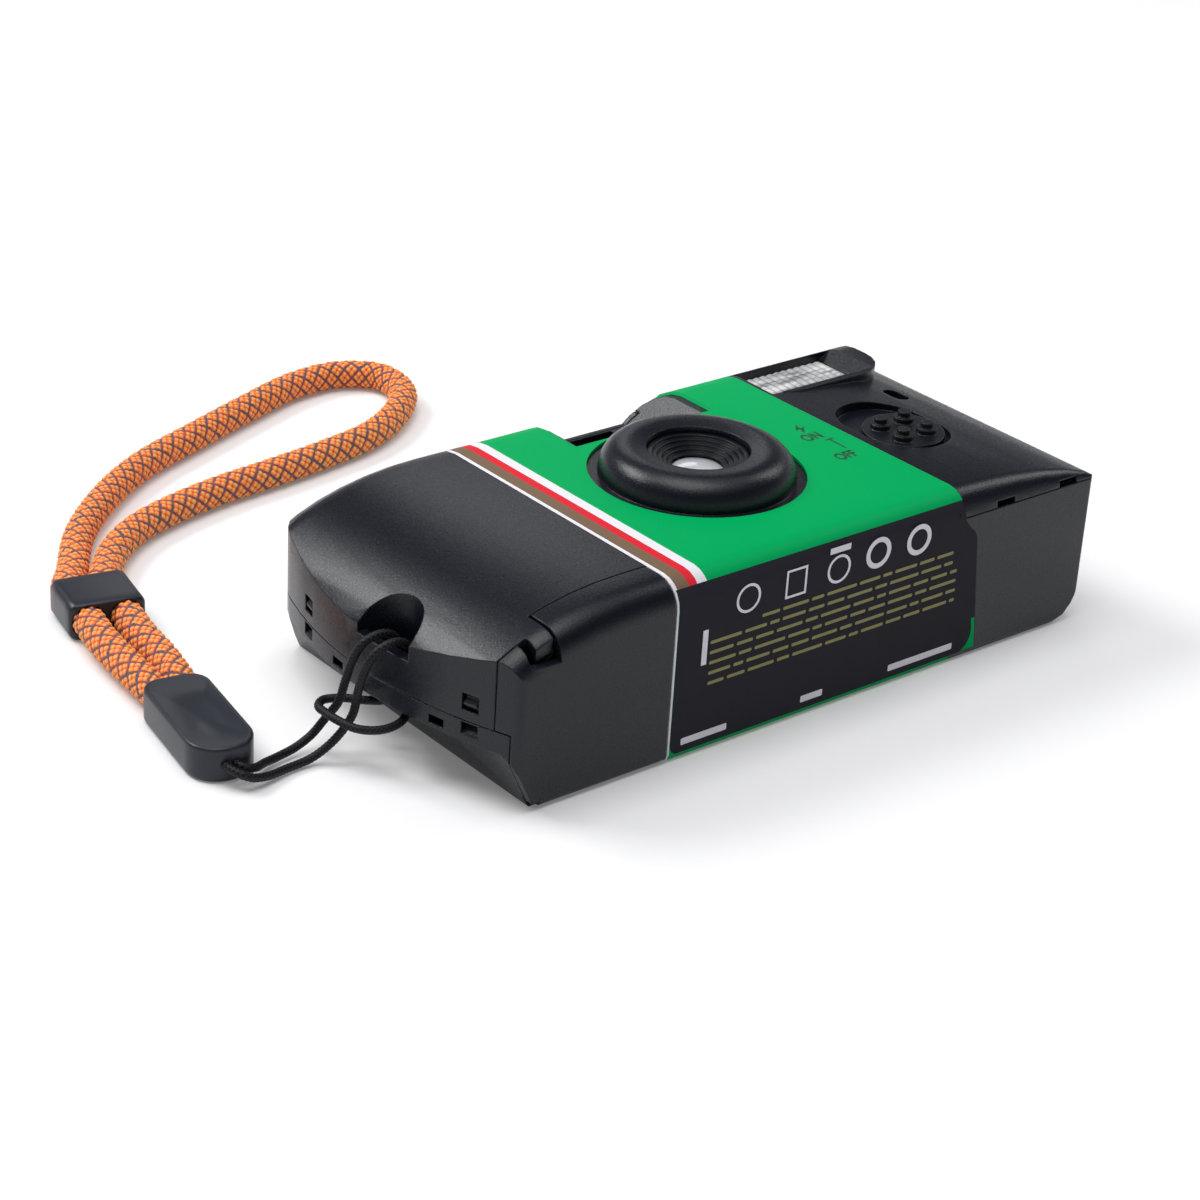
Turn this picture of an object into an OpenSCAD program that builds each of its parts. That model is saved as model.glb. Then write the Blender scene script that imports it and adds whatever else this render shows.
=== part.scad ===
// Single-use 35 mm film camera with a flash and a wrist strap, lying on its back.
// +Z is the lens direction, +Y the camera's top and +X its flash end. Lengths are in millimetres.

/* [Body] */
// Width of the body, end to end
body_w = 108; // [106:1:112]
// Height of the body, base to top
body_h = 54; // [53:0.5:56]
// Depth of the body at its flat front
body_d = 26; // [25.8:0.1:28]
// Wall of the covers
wall = 1.2; // [1:0.1:1.4]
// Radius of the long front edges
edge_r = 3.8; // [3:0.1:4.4]
// Round of the long front edge on the button side
far_edge_r = 6; // [5:0.1:6]
// Radius of the long back edges
back_r = 1.2; // [0.8:0.1:1.6]
// Radius of the upright corners at the flash end and of the door's corner
corner_r = 1.6; // [1:0.1:2.2]
// Radius of the upright corners at the flash end
flash_corner_r = 0.7; // [0.5:0.1:1.2]

/* [Grip end] */
// Length over which the grip's front curves down
nose_len = 26; // [24:0.5:27]
// Long radius of the grip's elliptical curve
nose_tail = 1.5; // [1.2:0.1:3]
// Short radius of the grip's elliptical curve
nose_rz = 13; // [11:0.5:14]
// How far the end wall bows out at its middle
end_bulge = 5.8; // [4:0.2:6.5]
// Radius of the upper corner of the grip end
top_corner_r = 9; // [6:0.5:9.5]
// Height of the seam between the covers at the grip end
grip_seam_z = 11.2; // [10.8:0.1:12]
// Height of the ledge under the end wall
ledge_z = 8.3; // [7.5:0.1:8.6]
// How far the back is tucked in under the ledge, at the floor
tuck_low = 8.8; // [7.5:0.1:9.5]
// How far the back is tucked in under the ledge, at the ledge
tuck_high = 4.8; // [4:0.1:6]

/* [Flash end] */
// Length over which the front slopes down to the flash end
slope_len = 28; // [26:0.5:28.4]
// Long radius of the slope's elliptical curve
slope_tail = 1; // [0.6:0.1:3]
// Short radius of the slope's elliptical curve
slope_rz = 4.4; // [3.8:0.1:4.6]
// Height of the seam between the covers at the flash end
flash_seam_z = 22.3; // [21.8:0.1:22.5]
// Radius of the back corner at the flash end
heel_r = 6.5; // [5:0.5:7]

/* [Label sleeve] */
// Thickness of the card sleeve
label_t = 0.4; // [0.3:0.05:0.6]
// Distance of the sleeve's edge from the grip end
label_from = 30.4; // [29.5:0.1:31]
// Width of the sleeve on the front
label_w = 51.8; // [51:0.1:52]
// Width of the side flap past the sleeve's edge, at the floor
flap_w = 4.8; // [4:0.1:6]
// Radius of the sleeve's hole round the lens
label_hole_r = 15.2; // [14.6:0.1:15.8]

/* [Lens] */
// Lens axis to the right of the middle
lens_x = 1.4; // [0:0.1:3]
// Lens axis above the middle
lens_y = -1.1; // [-2:0.1:0]
// Radius of the lens dome at its foot
dome_r = 13.7; // [13:0.1:14.2]
// Height of the dome's top over the back
dome_z = 29.9; // [29:0.1:31]
// Radius of the dome's hole
dome_hole_r = 7.2; // [7:0.1:7.6]
// Radius of the taking lens
lens_r = 3.9; // [3.4:0.1:4.2]
// Thickness of the taking lens at its middle
lens_t = 1.9; // [1.6:0.1:2.4]
// Radius of the fixed stop
stop_r = 1.6; // [1:0.1:2]

/* [Viewfinder] */
// Left wall of the viewfinder notch, from the middle
notch_left = -7; // [-8:0.1:-6]
// Foot of the notch's sloped right wall, from the middle
notch_right = 11; // [9:0.1:12]
// Lower wall of the notch, above the middle
notch_low = 14.8; // [14.4:0.1:15.2]
// Depth of the notch under the front
notch_depth = 5.4; // [4.5:0.1:5.8]
// Width of the viewfinder lenses
finder_w = 14; // [12:0.5:15]
// Height of the viewfinder lenses
finder_h = 7; // [6:0.1:7.2]

/* [Flash] */
// Left end of the flash opening, past the sleeve's edge
flash_gap = 0.6; // [0.4:0.1:1]
// Width of the flash opening
flash_w = 17.8; // [16:0.1:18.4]
// Lower edge of the flash opening, above the middle
flash_low = 13.8; // [13.4:0.1:14.2]
// Height of the flash opening
flash_h = 9.2; // [8.6:0.1:9.4]
// Depth of the flash window under the front
flash_depth = 1.7; // [1.4:0.1:2]
// Width of the sloped right wall of the flash opening
flash_flare = 2.6; // [1.5:0.1:3]
// Width of the flash housing past the sleeve
flash_block_w = 23.6; // [23.6:0.1:25]
// Radius of the flash tube
tube_r = 1.2; // [1:0.05:1.4]

/* [Flash switch] */
// Radius of the switch's disc
switch_r = 6; // [5.5:0.1:6.2]
// Gap between the disc and its recess
switch_gap = 0.9; // [0.6:0.1:1]
// Distance of the switch from the flash end
switch_from = 17.2; // [18.5:0.1:20]
// Place of the switch at OFF, above the middle
switch_y = -5.3; // [-7:0.1:-5.5]
// Travel of the switch from OFF to ON
switch_travel = 4.2; // [3:0.1:4.4]
// Distance of each nub from the disc's middle
nub_ring = 3.3; // [2.8:0.1:3.4]

/* [Shutter] */
// Width of the shutter button
button_w = 10.5; // [9:0.1:11]
// Depth of the shutter button
button_d = 7.6; // [7:0.1:8]
// Travel of the shutter button
button_travel = 1; // [0.8:0.1:1]
// Thickness of the mechanism plate
plate_t = 1.5; // [1.2:0.1:1.6]
// Thickness of the levers
lever_t = 1.2; // [1:0.1:1.3]

/* [Film] */
// Radius of the film cartridge
cartridge_r = 12; // [11.8:0.05:12.05]
// Length of the film cartridge
cartridge_l = 43.8; // [42.2:0.1:43.9]
// Radius of the cartridge spool
spool_r = 5.5; // [5:0.1:6]
// Width of the film
film_w = 35; // [34.6:0.1:35]
// Radius of the film roll
roll_r = 8.6; // [8:0.1:8.7]
// Radius of the supply spool
supply_r = 3.5; // [3:0.1:4]
// Radius of the film sprocket's body
sprocket_r = 2.8; // [2.6:0.1:2.9]
// Radius of the thumb wheel
wheel_r = 11.9; // [11.8:0.1:12]
// Thickness of the thumb wheel
wheel_t = 2.3; // [2:0.1:2.4]
// Ribs round the thumb wheel
wheel_ribs = 40; // [24:2:48]
// Radius of the counter dial
dial_r = 5.6; // [5:0.1:5.8]

/* [Film door] */
// Width of the door's lip on the front
lip_w = 6.5; // [5.5:0.1:7]
// Height of the door's flange on the end wall
flange_w = 3.4; // [2.8:0.1:4]
// Width of the fingernail notch
nail_w = 4.2; // [3.5:0.1:5]
// Radius of the bead that the door turns on
bead_r = 0.8; // [0.7:0.05:0.8]

/* [Flash circuit] */
// Radius of the battery
battery_r = 5.1; // [5:0.05:5.2]
// Length of the battery
battery_l = 44.4; // [44:0.1:44.5]
// Radius of the main capacitor
capacitor_r = 3.7; // [3.4:0.1:3.8]
// Length of the main capacitor
capacitor_l = 24; // [20:0.5:25]
// Thickness of the circuit board
board_t = 1.2; // [1:0.1:1.4]

/* [Strap] */
// Radius of the strap rope
rope_r = 2.2; // [2:0.05:2.2]
// Radius of the strap cord
cord_r = 0.6; // [0.5:0.05:0.6]
// Radius of the strap pocket in the grip
pocket_r = 5.1; // [5:0.1:5.5]
// Height of the bar that the strap cord goes round
bar_z = 16; // [15:0.1:16.2]
// Thickness of that bar
bar_t = 1.6; // [1.2:0.1:1.7]
// Length of the end cap
cap_l = 21; // [20:0.1:22]
// Width of the end cap
cap_w = 9.2; // [9.2:0.1:11]
// Height of the end cap
cap_h = 5.1; // [5:0.05:6]
// Length of the slider along the rope
slider_l = 9.8; // [8:0.1:10]
// Width of the slider across the rope
slider_w = 11; // [11:0.1:13]
// Height of the slider
slider_h = 5.4; // [5.4:0.05:6.4]

/* [Fits] */
// Running clearance of pins and shafts
run_gap = 0.06; // [0.04:0.01:0.08]
// Gap round pieces that drop in
drop_gap = 0.2; // [0.15:0.05:0.25]
// Gap round pieces that move past each other
move_gap = 0.3; // [0.25:0.05:0.35]
// Gap of the seam between the covers
seam_gap = 0.15; // [0.1:0.05:0.2]

/* [Hidden] */
$fn = 48;
black = "#2c2f36";
inner = "#1d1e22";
grey = "#8d9097";
metal = "#b9bcc2";
copper = "#b5713a";

x_grip = -body_w / 2;
x_flash = body_w / 2;
half_h = body_h / 2;
top_in = half_h - wall;
base_in = -half_h + wall;
front_in = body_d - wall;
nose_x = x_grip + nose_len;
nose_rx = nose_len + nose_tail;
slope_x = x_flash - slope_len;
slope_rx = slope_len + slope_tail;
// Room past a face where a cut runs out
over = 1;
// Least round left on an inner edge
least_r = 0.2;

// Steps of the round stretches
nose_steps = 9;
slope_steps = 6;
edge_steps = 5;
back_steps = 2;
end_steps = 10;
corner_steps = 5;

label_x0 = x_grip + label_from;
label_x1 = label_x0 + label_w;
label_gap = 0.03;
// The sleeve's back face lies this much above the floor
label_sink = 0.15;
flap_top_x = 1.8;
flap_top_z = 19;

seam_step_x = label_x0 + 2;
seam_step_w = 4;
seam_slot_w = 3.5;
seam_slot_h = 1;
seam_slots = [x_flash - 19.6, x_flash - 7.1];

// The notch and its rim
notch_z = body_d - notch_depth;
notch_rim = 0.8;
finder_x = notch_left + 2;
finder_gap = 0.5;
finder_y1 = top_in - finder_gap;
finder_y0 = finder_y1 - finder_h;
finder_front_t = 1.6;
finder_rear_t = 1.8;
eyepiece_w = 11;

dome_shoulder = 3.8;
dome_foot_z = body_d - label_t;
dome_dish = 0.5;
retainer_steps = 5;
retainer_step_r = 0.68;
retainer_step_z = 0.4;
retainer_rim = 0.7;
lens_lip = 0.3;
lens_rim = 0.5;
lens_crown = 0.1;
retainer_foot = 1.4;
retainer_low = body_d - 0.8;
retainer_r = dome_hole_r - drop_gap;

// The mechanism plate and the tunnel behind it
plate_z1 = body_d - 4.5;
plate_z0 = plate_z1 - plate_t;
plate_low = -21.5;
plate_high = notch_low - wall - move_gap;
tunnel_z0 = 4.2;
tunnel_z1 = plate_z0 - 1.6;
tunnel_half_w = 20;
tunnel_half_h = 16.5;
rail_w = 2.4;
gate_w = 35;
gate_h = 24;
gate_front_w = 12;
gate_front_h = 9;
light_hole_r = 2.4;
post_r = 2.2;
posts = [[-16, plate_low], [16, plate_low], [19, half_h - 4.7]];
foot_gap = 0.1;
pin_r = 1;
hub_r = 2.2;
// Height of the levers over the plate
lever_z0 = plate_z1 + 0.4;
lever_z1 = lever_z0 + lever_t;
pin_top = lever_z1 + 0.5;
link_w = 1.6;
blade_t = 0.4;
blade_z0 = tunnel_z1 + 0.6;
blade_r = 3.4;
blade_pivot = [lens_x - 9.5, lens_y - 1];
tab_at = blade_pivot + [0, 5];
tab_w = 1.2;
tab_travel = 2.1;
drive_pivot = [lens_x - 10, lens_y + 11];
drive_tip = tab_at + [-tab_w / 2 - link_w / 2 - 0.15, 0.3];
drive_catch = drive_pivot + [-4.6, -2.6];
drive_peg = drive_pivot + [2.8, -2.3];
lock_pivot = [lens_x - 18.9, lens_y + 13.1];
lock_hook = drive_catch + [-2, -0.5];
lock_tip = lock_pivot + [4.5, 7.3];
anchor_at = drive_peg + [14.4, 0];
peg_r = 0.5;
spring_r = 1;
spring_wire_r = 0.25;
spring_pitch = 1.05;
spring_turns = 9;
spring_z = lever_z1 + 0.1;
spring_steps = 10;
stop_t = 0.3;
stop_disc_r = 5;

// The film path
cartridge_x = x_grip + 21.5;
cartridge_z = 0.7 + cartridge_r;
cartridge_end_gap = 1.2;
cartridge_y0 = base_in + cartridge_end_gap;
cartridge_y1 = cartridge_y0 + cartridge_l;
can_t = 0.5;
cap_t = 1.2;
journal_r = 2.6;
fork_t = 1.2;
fork_w = 3.2;
mouth_w = 4;
mouth_t = 2;
wheel_y0 = top_in - 2.5 - wheel_t;
wheel_y1 = wheel_y0 + wheel_t;
rib_depth = 0.5;
scoop_r = 14;
scoop_depth = 0.9;
roll_x = x_flash - 24.5;
roll_z = wall + 0.4 + roll_r;
film_t = 0.2;
film_z = 3.5;
film_x0 = cartridge_x + 9.2;
film_x1 = roll_x - sqrt(pow(roll_r, 2) - pow(roll_z - film_z - film_t, 2)) - drop_gap;
sprocket_x = -17;
tooth_h = 0.6;
tooth_w = 0.8;
sprocket_teeth = 4;
sprocket_z = film_z + film_t + 0.15 + sprocket_r + tooth_h;
sprocket_y0 = 14.6;
sprocket_y1 = 17.2;
sprocket_pin_r = 1.2;
sprocket_top = wheel_y1 - 0.5;
dial_x = -13.5;
dial_z = 11.5;
dial_t = 1;
dial_teeth = 20;
dial_y0 = top_in - 2.4;
window_w = 6;
window_d = 4;
window_z = dial_z + 2;
arm_y = film_w / 2 + 0.7;
arm_plate_t = 1.2;
arm_half = 4;
supply_pin_r = 2;
bracket_y0 = cartridge_y1 + move_gap;
bracket_y1 = wheel_y0 - move_gap;
bracket_low = 11.4;
bracket_high = 16.4;
bracket_half = 4.2;

// The shutter button in the top
button_x = cartridge_x + 0.8;
button_z = grip_seam_z + 0.6 + button_d / 2;
button_y1 = half_h - 0.1;
button_y0 = top_in - 0.05;
button_arm_y1 = top_in - move_gap;
button_arm_y0 = button_arm_y1 - 0.85;
button_arm_z0 = 18;
button_arm_z1 = 20.4;
button_neck = 4;
stem_x1 = lock_tip[0] + 1.6;
stem_w = 2.4;
stem_low = lock_tip[1] + link_w / 2 + 0.2;
stem_z1 = lever_z1 - 0.2;

// The flash unit
flash_x0 = label_x1 + flash_gap;
flash_x1 = flash_x0 + flash_w;
flash_y1 = flash_low + flash_h;
flash_block_x1 = label_x1 + flash_block_w;
flash_block_low = flash_low - 1.2;
housing_r = 6;
flash_block_z0 = flash_seam_z + 0.6;
window_top = body_d - flash_depth;
window_t = 1.4;
prisms = 13;
prism_h = 0.15;
reflector_z1 = window_top - window_t - 0.1;
reflector_z0 = roll_z + roll_r + 0.4;
reflector_wall = 0.5;
reflector_steps = 8;
tube_y = (flash_low + flash_y1) / 2;
tube_z = reflector_z0 + reflector_wall + tube_r + 0.2;
tube_over = 1.6;

switch_x = x_flash - switch_from;
well_r = switch_r + switch_gap;
well_z = body_d - 1.8;
pan_top = front_z(switch_x + well_r + wall) - 0.05;
disc_z0 = well_z + 0.15;
disc_t = 1.2;
nub_r = 1.5;
nub_tip_r = 0.95;
nub_h = 0.8;
nub_tip_h = 1.6;
key_w = 2.6;
key_l = 3.4;
key_foot_r = 2.6;
key_foot_t = 0.6;
strip_w = 2;
strip_l = 8;
strip_t = 0.3;
sync_l = 5;
oval_x = x_flash - 7.3;
oval_y = 6.3;
oval_l = 4.4;
oval_w = 2.8;

board_x0 = x_flash - 32.5;
board_x1 = x_flash - 12.5;
board_y0 = base_in + 2.8;
board_y1 = flash_low - 1.3;
board_z0 = roll_z + roll_r + 1.2;
board_z1 = board_z0 + board_t;
shelf_w = 4;
shelf_l = 8;
battery_x = x_flash - 7.8;
battery_z = wall + 0.3 + battery_r;
battery_y0 = -battery_l / 2;
battery_nub_r = 1.9;
battery_nub_l = 1;
cradle_w = 6.4;
cradle_t = 1.2;
cradle_y = 14;
contact_t = 0.5;
contact_half = 3.6;
capacitor_x = x_flash - 8.2;
capacitor_z = battery_z + battery_r + 0.3 + capacitor_r;
capacitor_y0 = base_in + 1.4;
lead_r = 0.3;
lead_half = 2;
lead_y = capacitor_y0 + 8;
transformer_w = 8;
transformer_d = 6.4;
transformer_h = 9;
flange_t = 1.5;
transformer_x = x_flash - 12.2;
transformer_y = capacitor_y0 + capacitor_l + 1;
transformer_z = battery_z + battery_r + 0.3;
trigger_r = 2.4;
trigger_l = 9;
trigger_y = transformer_y + transformer_h + 1;
lamp_x = finder_x + finder_w + 4.5;
lamp_y = finder_y0 + finder_h / 2;
lamp_r = 1.5;
lamp_h = 3.4;
lamp_rim = 0.6;
lamp_flange = 0.8;

// The door
door_x1 = label_x0 - drop_gap;
lip_y = -half_h + lip_w;
bead_y = -half_h + bead_r;
bead_z = bead_r + 0.35;
bead_x0 = x_grip + tuck_low + 0.8;
nail_x1 = x_grip + 11.6;
nail_low = body_d - 5.6;
lip_low = grip_seam_z + 4;

// Latches in the end wall: tongues of the rear cover that snap into windows of the front one
latch_w = 2.6;
latch_h = 2.4;
latches_y = [-half_h + 7, half_h - 13.8];
latch_up_z = grip_seam_z + 1.5;
latch_low_z = ledge_z + 0.9;
latch_low_h = 1.8;
tongue_t = 0.9;
barb_h = 1.5;
slot_w = 2.5;
slot_h = 1.2;
slots_y = [-half_h + 12.1, half_h - 22.4];

// The strap pocket's place
pocket_x = x_grip + 0.5;
pocket_y = -4.9;
pocket_wall = 0.9;
pocket_low = 5;

// The strap: the slider's place and heading, the end cap's, and the routes of rope and cord
slider_at = [-64.8, 47.3];
slider_turn = -12;
slider_low = 0.05;
slider_round = 1.2;
strand_half = 2.7;
cap_at = [-71.3, 10.2];
cap_turn = -10;
cap_low = 0.05;
cap_round = 2.4;
cap_tail_r = 3.9;
cap_strand = 2.15;
cap_bore = 4;
cap_rim = 1;
cap_dish = 0.6;
cap_dish_r = 60;
seat = 0.02;
rope_end_r = rope_r - 0.3;
cord_strands = [0.75, -0.75];
cord_bore = 2;
rope_z = 2.75;
lie_z = rope_r + 0.1;
rope_hole_r = rope_r + 0.2;
rope_sides = 12;
cord_sides = 8;
function along(at, turn, across, s, z) =
    [at[0] + across * cos(turn) - s * sin(turn), at[1] + across * sin(turn) + s * cos(turn), z];
function on_cap(across, s) = along(cap_at, cap_turn, across, s, rope_z);
function on_slider(across, s) = along(slider_at, slider_turn, across, s, rope_z);
rope_loop = [
    [-62.6, 58.4], [-55.2, 69], [-44.6, 79], [-34.8, 85.4], [-22.6, 90.5], [-10, 95.5], [2.5, 99.8],
    [11, 99.9], [16.6, 95.6], [16.1, 88.4], [10.6, 82], [1.8, 76.7], [-9.5, 74], [-20, 72.5], [-30, 71.3],
    [-40.3, 68.9], [-47.7, 66], [-53.5, 61.8], [-57.4, 57.4]];
slider_stops = [-11.5, -5, 0, 5.4];
rope_out = [cap_l / 2 - cap_bore, cap_l / 2, cap_l / 2 + 2.5];
rope_route = concat(
    [for (s = rope_out) on_cap(-cap_strand, s)],
    [[-70.7, 28.6, rope_z]],
    [for (s = slider_stops) on_slider(-strand_half, s)],
    [for (p = rope_loop) [p[0], p[1], lie_z]],
    [for (k = [3:-1:0]) on_slider(strand_half, slider_stops[k])],
    [[-65.5, 29, rope_z]],
    [for (k = [2:-1:0]) on_cap(cap_strand, rope_out[k])]);
rope_girth = [for (k = [0:len(rope_route) - 1])
    k < 2 || k > len(rope_route) - 3 ? rope_end_r : rope_r];
cord_route = concat(
    [for (s = [-cap_l / 2 + cord_bore, -cap_l / 2 - 0.3]) on_cap(cord_strands[0], s)],
    [[-71.6, -1.6, 2.4], [-70.2, -1.3, 1.9], [-68.2, -0.2, 1.4], [-65.4, 0.8, 1],
        [-62.4, 1.3, 1.2], [-60, 1.3, 2.3], [-58.3, 0.7, 4.5], [-57.2, -0.5, 7], [-57.1, -1.8, 10.5],
        [-56.9, -2.8, 13.6], [-55.9, -3.5, 16.2], [-54.2, -3.9, 17.3], [-52.5, -4.1, 17.3],
        [-51.2, -4.2, 16.5], [-50.8, -4.2, 14.8], [-50.8, -4.1, 12], [-50.8, -3.8, 9],
        [-51.4, -3.1, 7], [-53, -1.2, 6.4], [-55.2, 1.2, 6.3], [-57.6, 2.2, 6.3], [-59.2, 1, 6.4],
        [-59.6, -1.5, 6.6], [-59.5, -4.2, 6.7], [-58.6, -7, 6.6], [-56.4, -8.6, 6.5],
        [-53.8, -8.8, 6.6], [-51.8, -8, 7], [-50.8, -7.4, 9], [-50.8, -7.1, 12], [-50.8, -7, 14.8],
        [-51.2, -7, 16.5], [-52.5, -6.9, 17.3], [-54.2, -6.8, 17.3], [-55.9, -6.4, 16.2],
        [-57, -5.8, 13.6], [-57.3, -5, 10.5], [-57.4, -4.2, 7.2], [-58.2, -3.2, 4.6],
        [-59.7, -2.3, 2.4], [-62.2, -1.9, 1], [-66, -2.1, 0.8], [-69.2, -2.8, 1.1],
        [-71.6, -3.1, 1.7], [-73, -2.6, 2.3]],
    [for (s = [-cap_l / 2 - 0.3, -cap_l / 2 + cord_bore]) on_cap(cord_strands[1], s)]);

function lerp(a, b, t) = a + (b - a) * t;
function unit(v) = v / norm(v);

// Points of an arc in a plane
function arc(cx, cy, r, a0, a1, n) =
    [for (k = [0:n]) [cx + r * cos(lerp(a0, a1, k / n)), cy + r * sin(lerp(a0, a1, k / n))]];

function rounded_rect(x0, y0, x1, y1, r) = concat(
    arc(x1 - r, y0 + r, r, 270, 360, corner_steps), arc(x1 - r, y1 - r, r, 0, 90, corner_steps),
    arc(x0 + r, y1 - r, r, 90, 180, corner_steps), arc(x0 + r, y0 + r, r, 180, 270, corner_steps));

// Height of the front surface along the body
function front_z(x) =
    x < nose_x ? body_d - nose_rz + nose_rz * sqrt(max(0, 1 - pow((nose_x - x) / nose_rx, 2))) :
    x > slope_x ? body_d - slope_rz + slope_rz * sqrt(max(0, 1 - pow((x - slope_x) / slope_rx, 2))) :
    body_d;

// Edge round along the body: it dies out into the seam at the flash end
function edge_at(x) = x > slope_x ? min(edge_r, front_z(x) - flash_seam_z) : edge_r;

// The bowed end wall in plan, and its slope
function end_x(y) = x_grip + end_bulge * pow(y / half_h, 2);
function end_slope(y) = 2 * end_bulge * y / pow(half_h, 2);

// Where a corner arc of radius r leaves the bowed end wall, h being the half height
function corner_y(h, r, n = 6) = n == 0 ? h - r : let (s = end_slope(corner_y(h, r, n - 1)))
    h - r + r * s / sqrt(1 + s * s);

// Outline in plan, drawn in by i
function outline(i) = let (h = half_h - i, r = corner_r - min(i, corner_r / 2), t = top_corner_r - i,
        f = flash_corner_r - min(i, flash_corner_r / 2),
        y1 = corner_y(h, t), a1 = atan(end_slope(y1)), y0 = corner_y(h, r), a0 = atan(end_slope(y0)))
    concat(
        arc(x_flash - i - f, -h + f, f, 270, 360, corner_steps),
        arc(x_flash - i - f, h - f, f, 0, 90, corner_steps),
        arc(end_x(y1) + i + t * cos(a1), y1 - t * sin(a1), t, 90, 180 - a1, corner_steps),
        [for (k = [1:end_steps - 1]) let (y = lerp(y1, -y0, k / end_steps)) [end_x(y) + i, y]],
        arc(end_x(y0) + i + r * cos(a0), -y0 + r * sin(a0), r, 180 + a0, 270, corner_steps));

// Cross-section of the body at x, drawn in by i, as a ring of points
function section_2d(top, i, edge = edge_r) = let (h = half_h - i, e = max(edge - i, least_r),
        g = far_edge_r - i, b = max(back_r - i, least_r)) concat(
    arc(h - b, i + b, b, 270, 360, back_steps), arc(h - g, top - i - g, g, 0, 90, edge_steps),
    arc(-h + e, top - i - e, e, 90, 180, edge_steps), arc(-h + b, i + b, b, 180, 270, back_steps));
function section(x, i) = [for (p = section_2d(front_z(x), i, edge_at(x))) [x, p[0], p[1]]];

nose_end = asin((nose_len + over) / nose_rx);
slope_end = asin((slope_len + over / 2) / slope_rx);
stations = concat(
    [for (k = [nose_steps:-1:0]) nose_x - nose_rx * sin(nose_end * k / nose_steps)],
    [for (k = [0:slope_steps]) slope_x + slope_rx * sin(slope_end * k / slope_steps)]);

// A closed skin over rings of points that have the same count
module loft(rings) {
    m = len(rings);
    n = len(rings[0]);
    polyhedron(points = [for (r = rings) each r], faces = concat(
        [[for (j = [0:n - 1]) j]], [[for (j = [n - 1:-1:0]) (m - 1) * n + j]],
        [for (k = [0:m - 2]) for (j = [0:n - 1]) let (a = k * n + j, b = k * n + (j + 1) % n)
            each [[a, a + n, b + n], [a, b + n, b]]]));
}

// Sideways vectors carried along a route without twist
function tangent(p, k) = unit(p[min(k + 1, len(p) - 1)] - p[max(k - 1, 0)]);
function sideways(p, k = 0, last = [0, 0, 1]) = k == len(p) ? [] :
    let (t = tangent(p, k), s = unit(last - t * (last * t))) concat([s], sideways(p, k + 1, s));

module tube(p, r, sides) {
    side = sideways(p);
    girth = is_list(r) ? r : [for (k = p) r];
    loft([for (k = [0:len(p) - 1]) let (t = tangent(p, k), u = cross(t, side[k]))
        [for (j = [0:sides - 1]) p[k] + girth[k] * (cos(360 * j / sides) * side[k] + sin(360 * j / sides) * u)]]);
}

// Simple solids by their limits
module block(a, b) { translate(a) cube(b - a); }
module rod_x(y, z, r, x0, x1) { translate([x0, y, z]) rotate([0, 90, 0]) cylinder(r = r, h = x1 - x0); }
module rod_y(x, z, r, y0, y1) { translate([x, y0, z]) rotate([-90, 0, 0]) cylinder(r = r, h = y1 - y0); }
module rod_z(x, y, r, z0, z1) { translate([x, y, z0]) cylinder(r = r, h = z1 - z0); }
module xz_prism(y0, y1) { translate([0, y1, 0]) rotate([90, 0, 0]) linear_extrude(y1 - y0) children(); }
module yz_prism(x0, x1) {
    translate([x0, 0, 0]) rotate([90, 0, 90]) linear_extrude(x1 - x0) children();
}
// A slot with round ends between two heights along Y
module long_hole(x, y0, y1, r, z0, z1) {
    rod_z(x, y0, r, z0, z1);
    rod_z(x, y1, r, z0, z1);
    block([x - r, y0, z0], [x + r, y1, z1]);
}
// A frame on the bowed end wall: +X points into the body
module at_end(y) { translate([end_x(y), y, 0]) rotate([0, 0, -atan(end_slope(y))]) children(); }

// Side view of the back, with the tucked grip end and the round heel
module back_form(i) {
    r = heel_r - i;
    xz_prism(-half_h - over, half_h + over) polygon(concat(
        [[x_grip - over, body_d + dome_z], [x_grip - over, ledge_z + i],
            [x_grip + tuck_high + i, ledge_z + i], [x_grip + tuck_low + i, i]],
        arc(x_flash - heel_r, heel_r, r, 270, 360, corner_steps),
        [[x_flash - i, body_d + dome_z]]));
}

module body_skin(i) { loft([for (x = stations) section(x, i)]); }

// The body as one solid, drawn in by i
module body_solid(i) {
    intersection() {
        body_skin(i);
        linear_extrude(body_d + over) polygon(outline(i));
        back_form(i);
    }
}

// Room above the seam between the covers, raised by gap
module above_seam(gap) {
    xz_prism(-half_h - over, half_h + over) polygon([
        [x_grip - over, grip_seam_z + gap], [seam_step_x, grip_seam_z + gap],
        [seam_step_x + seam_step_w, flash_seam_z + gap], [x_flash + over, flash_seam_z + gap],
        [x_flash + over, dome_z + over], [x_grip - over, dome_z + over]]);
}

// The strap pocket: a round scoop over the bar and a shaft behind it
module strap_pocket() {
    rod_z(pocket_x, pocket_y, pocket_r, bar_z, body_d + over);
    intersection() {
        rod_z(pocket_x, pocket_y, pocket_r, pocket_low, bar_z + over);
        linear_extrude(body_d) polygon(outline(bar_t));
    }
}
module pocket_walls(z0, z1) {
    difference() {
        intersection() {
            rod_z(pocket_x, pocket_y, pocket_r + pocket_wall, z0, z1);
            body_solid(0);
        }
        strap_pocket();
    }
}

// Room that the film door fills, grown by gap
module door_room(gap) {
    far = x_grip - over;
    block([far, -half_h - over, -over], [door_x1 + gap, base_in + gap, bead_z + bead_r]);
    block([far, -half_h - over, bead_z], [door_x1 + gap, base_in + gap, body_d + over]);
    block([nail_x1 - gap, -half_h - over, lip_low - gap], [door_x1 + gap, lip_y + gap, body_d + over]);
    block([far, -half_h - over, grip_seam_z], [x_grip + tuck_low, -half_h + flange_w + gap, body_d + over]);
}

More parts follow.
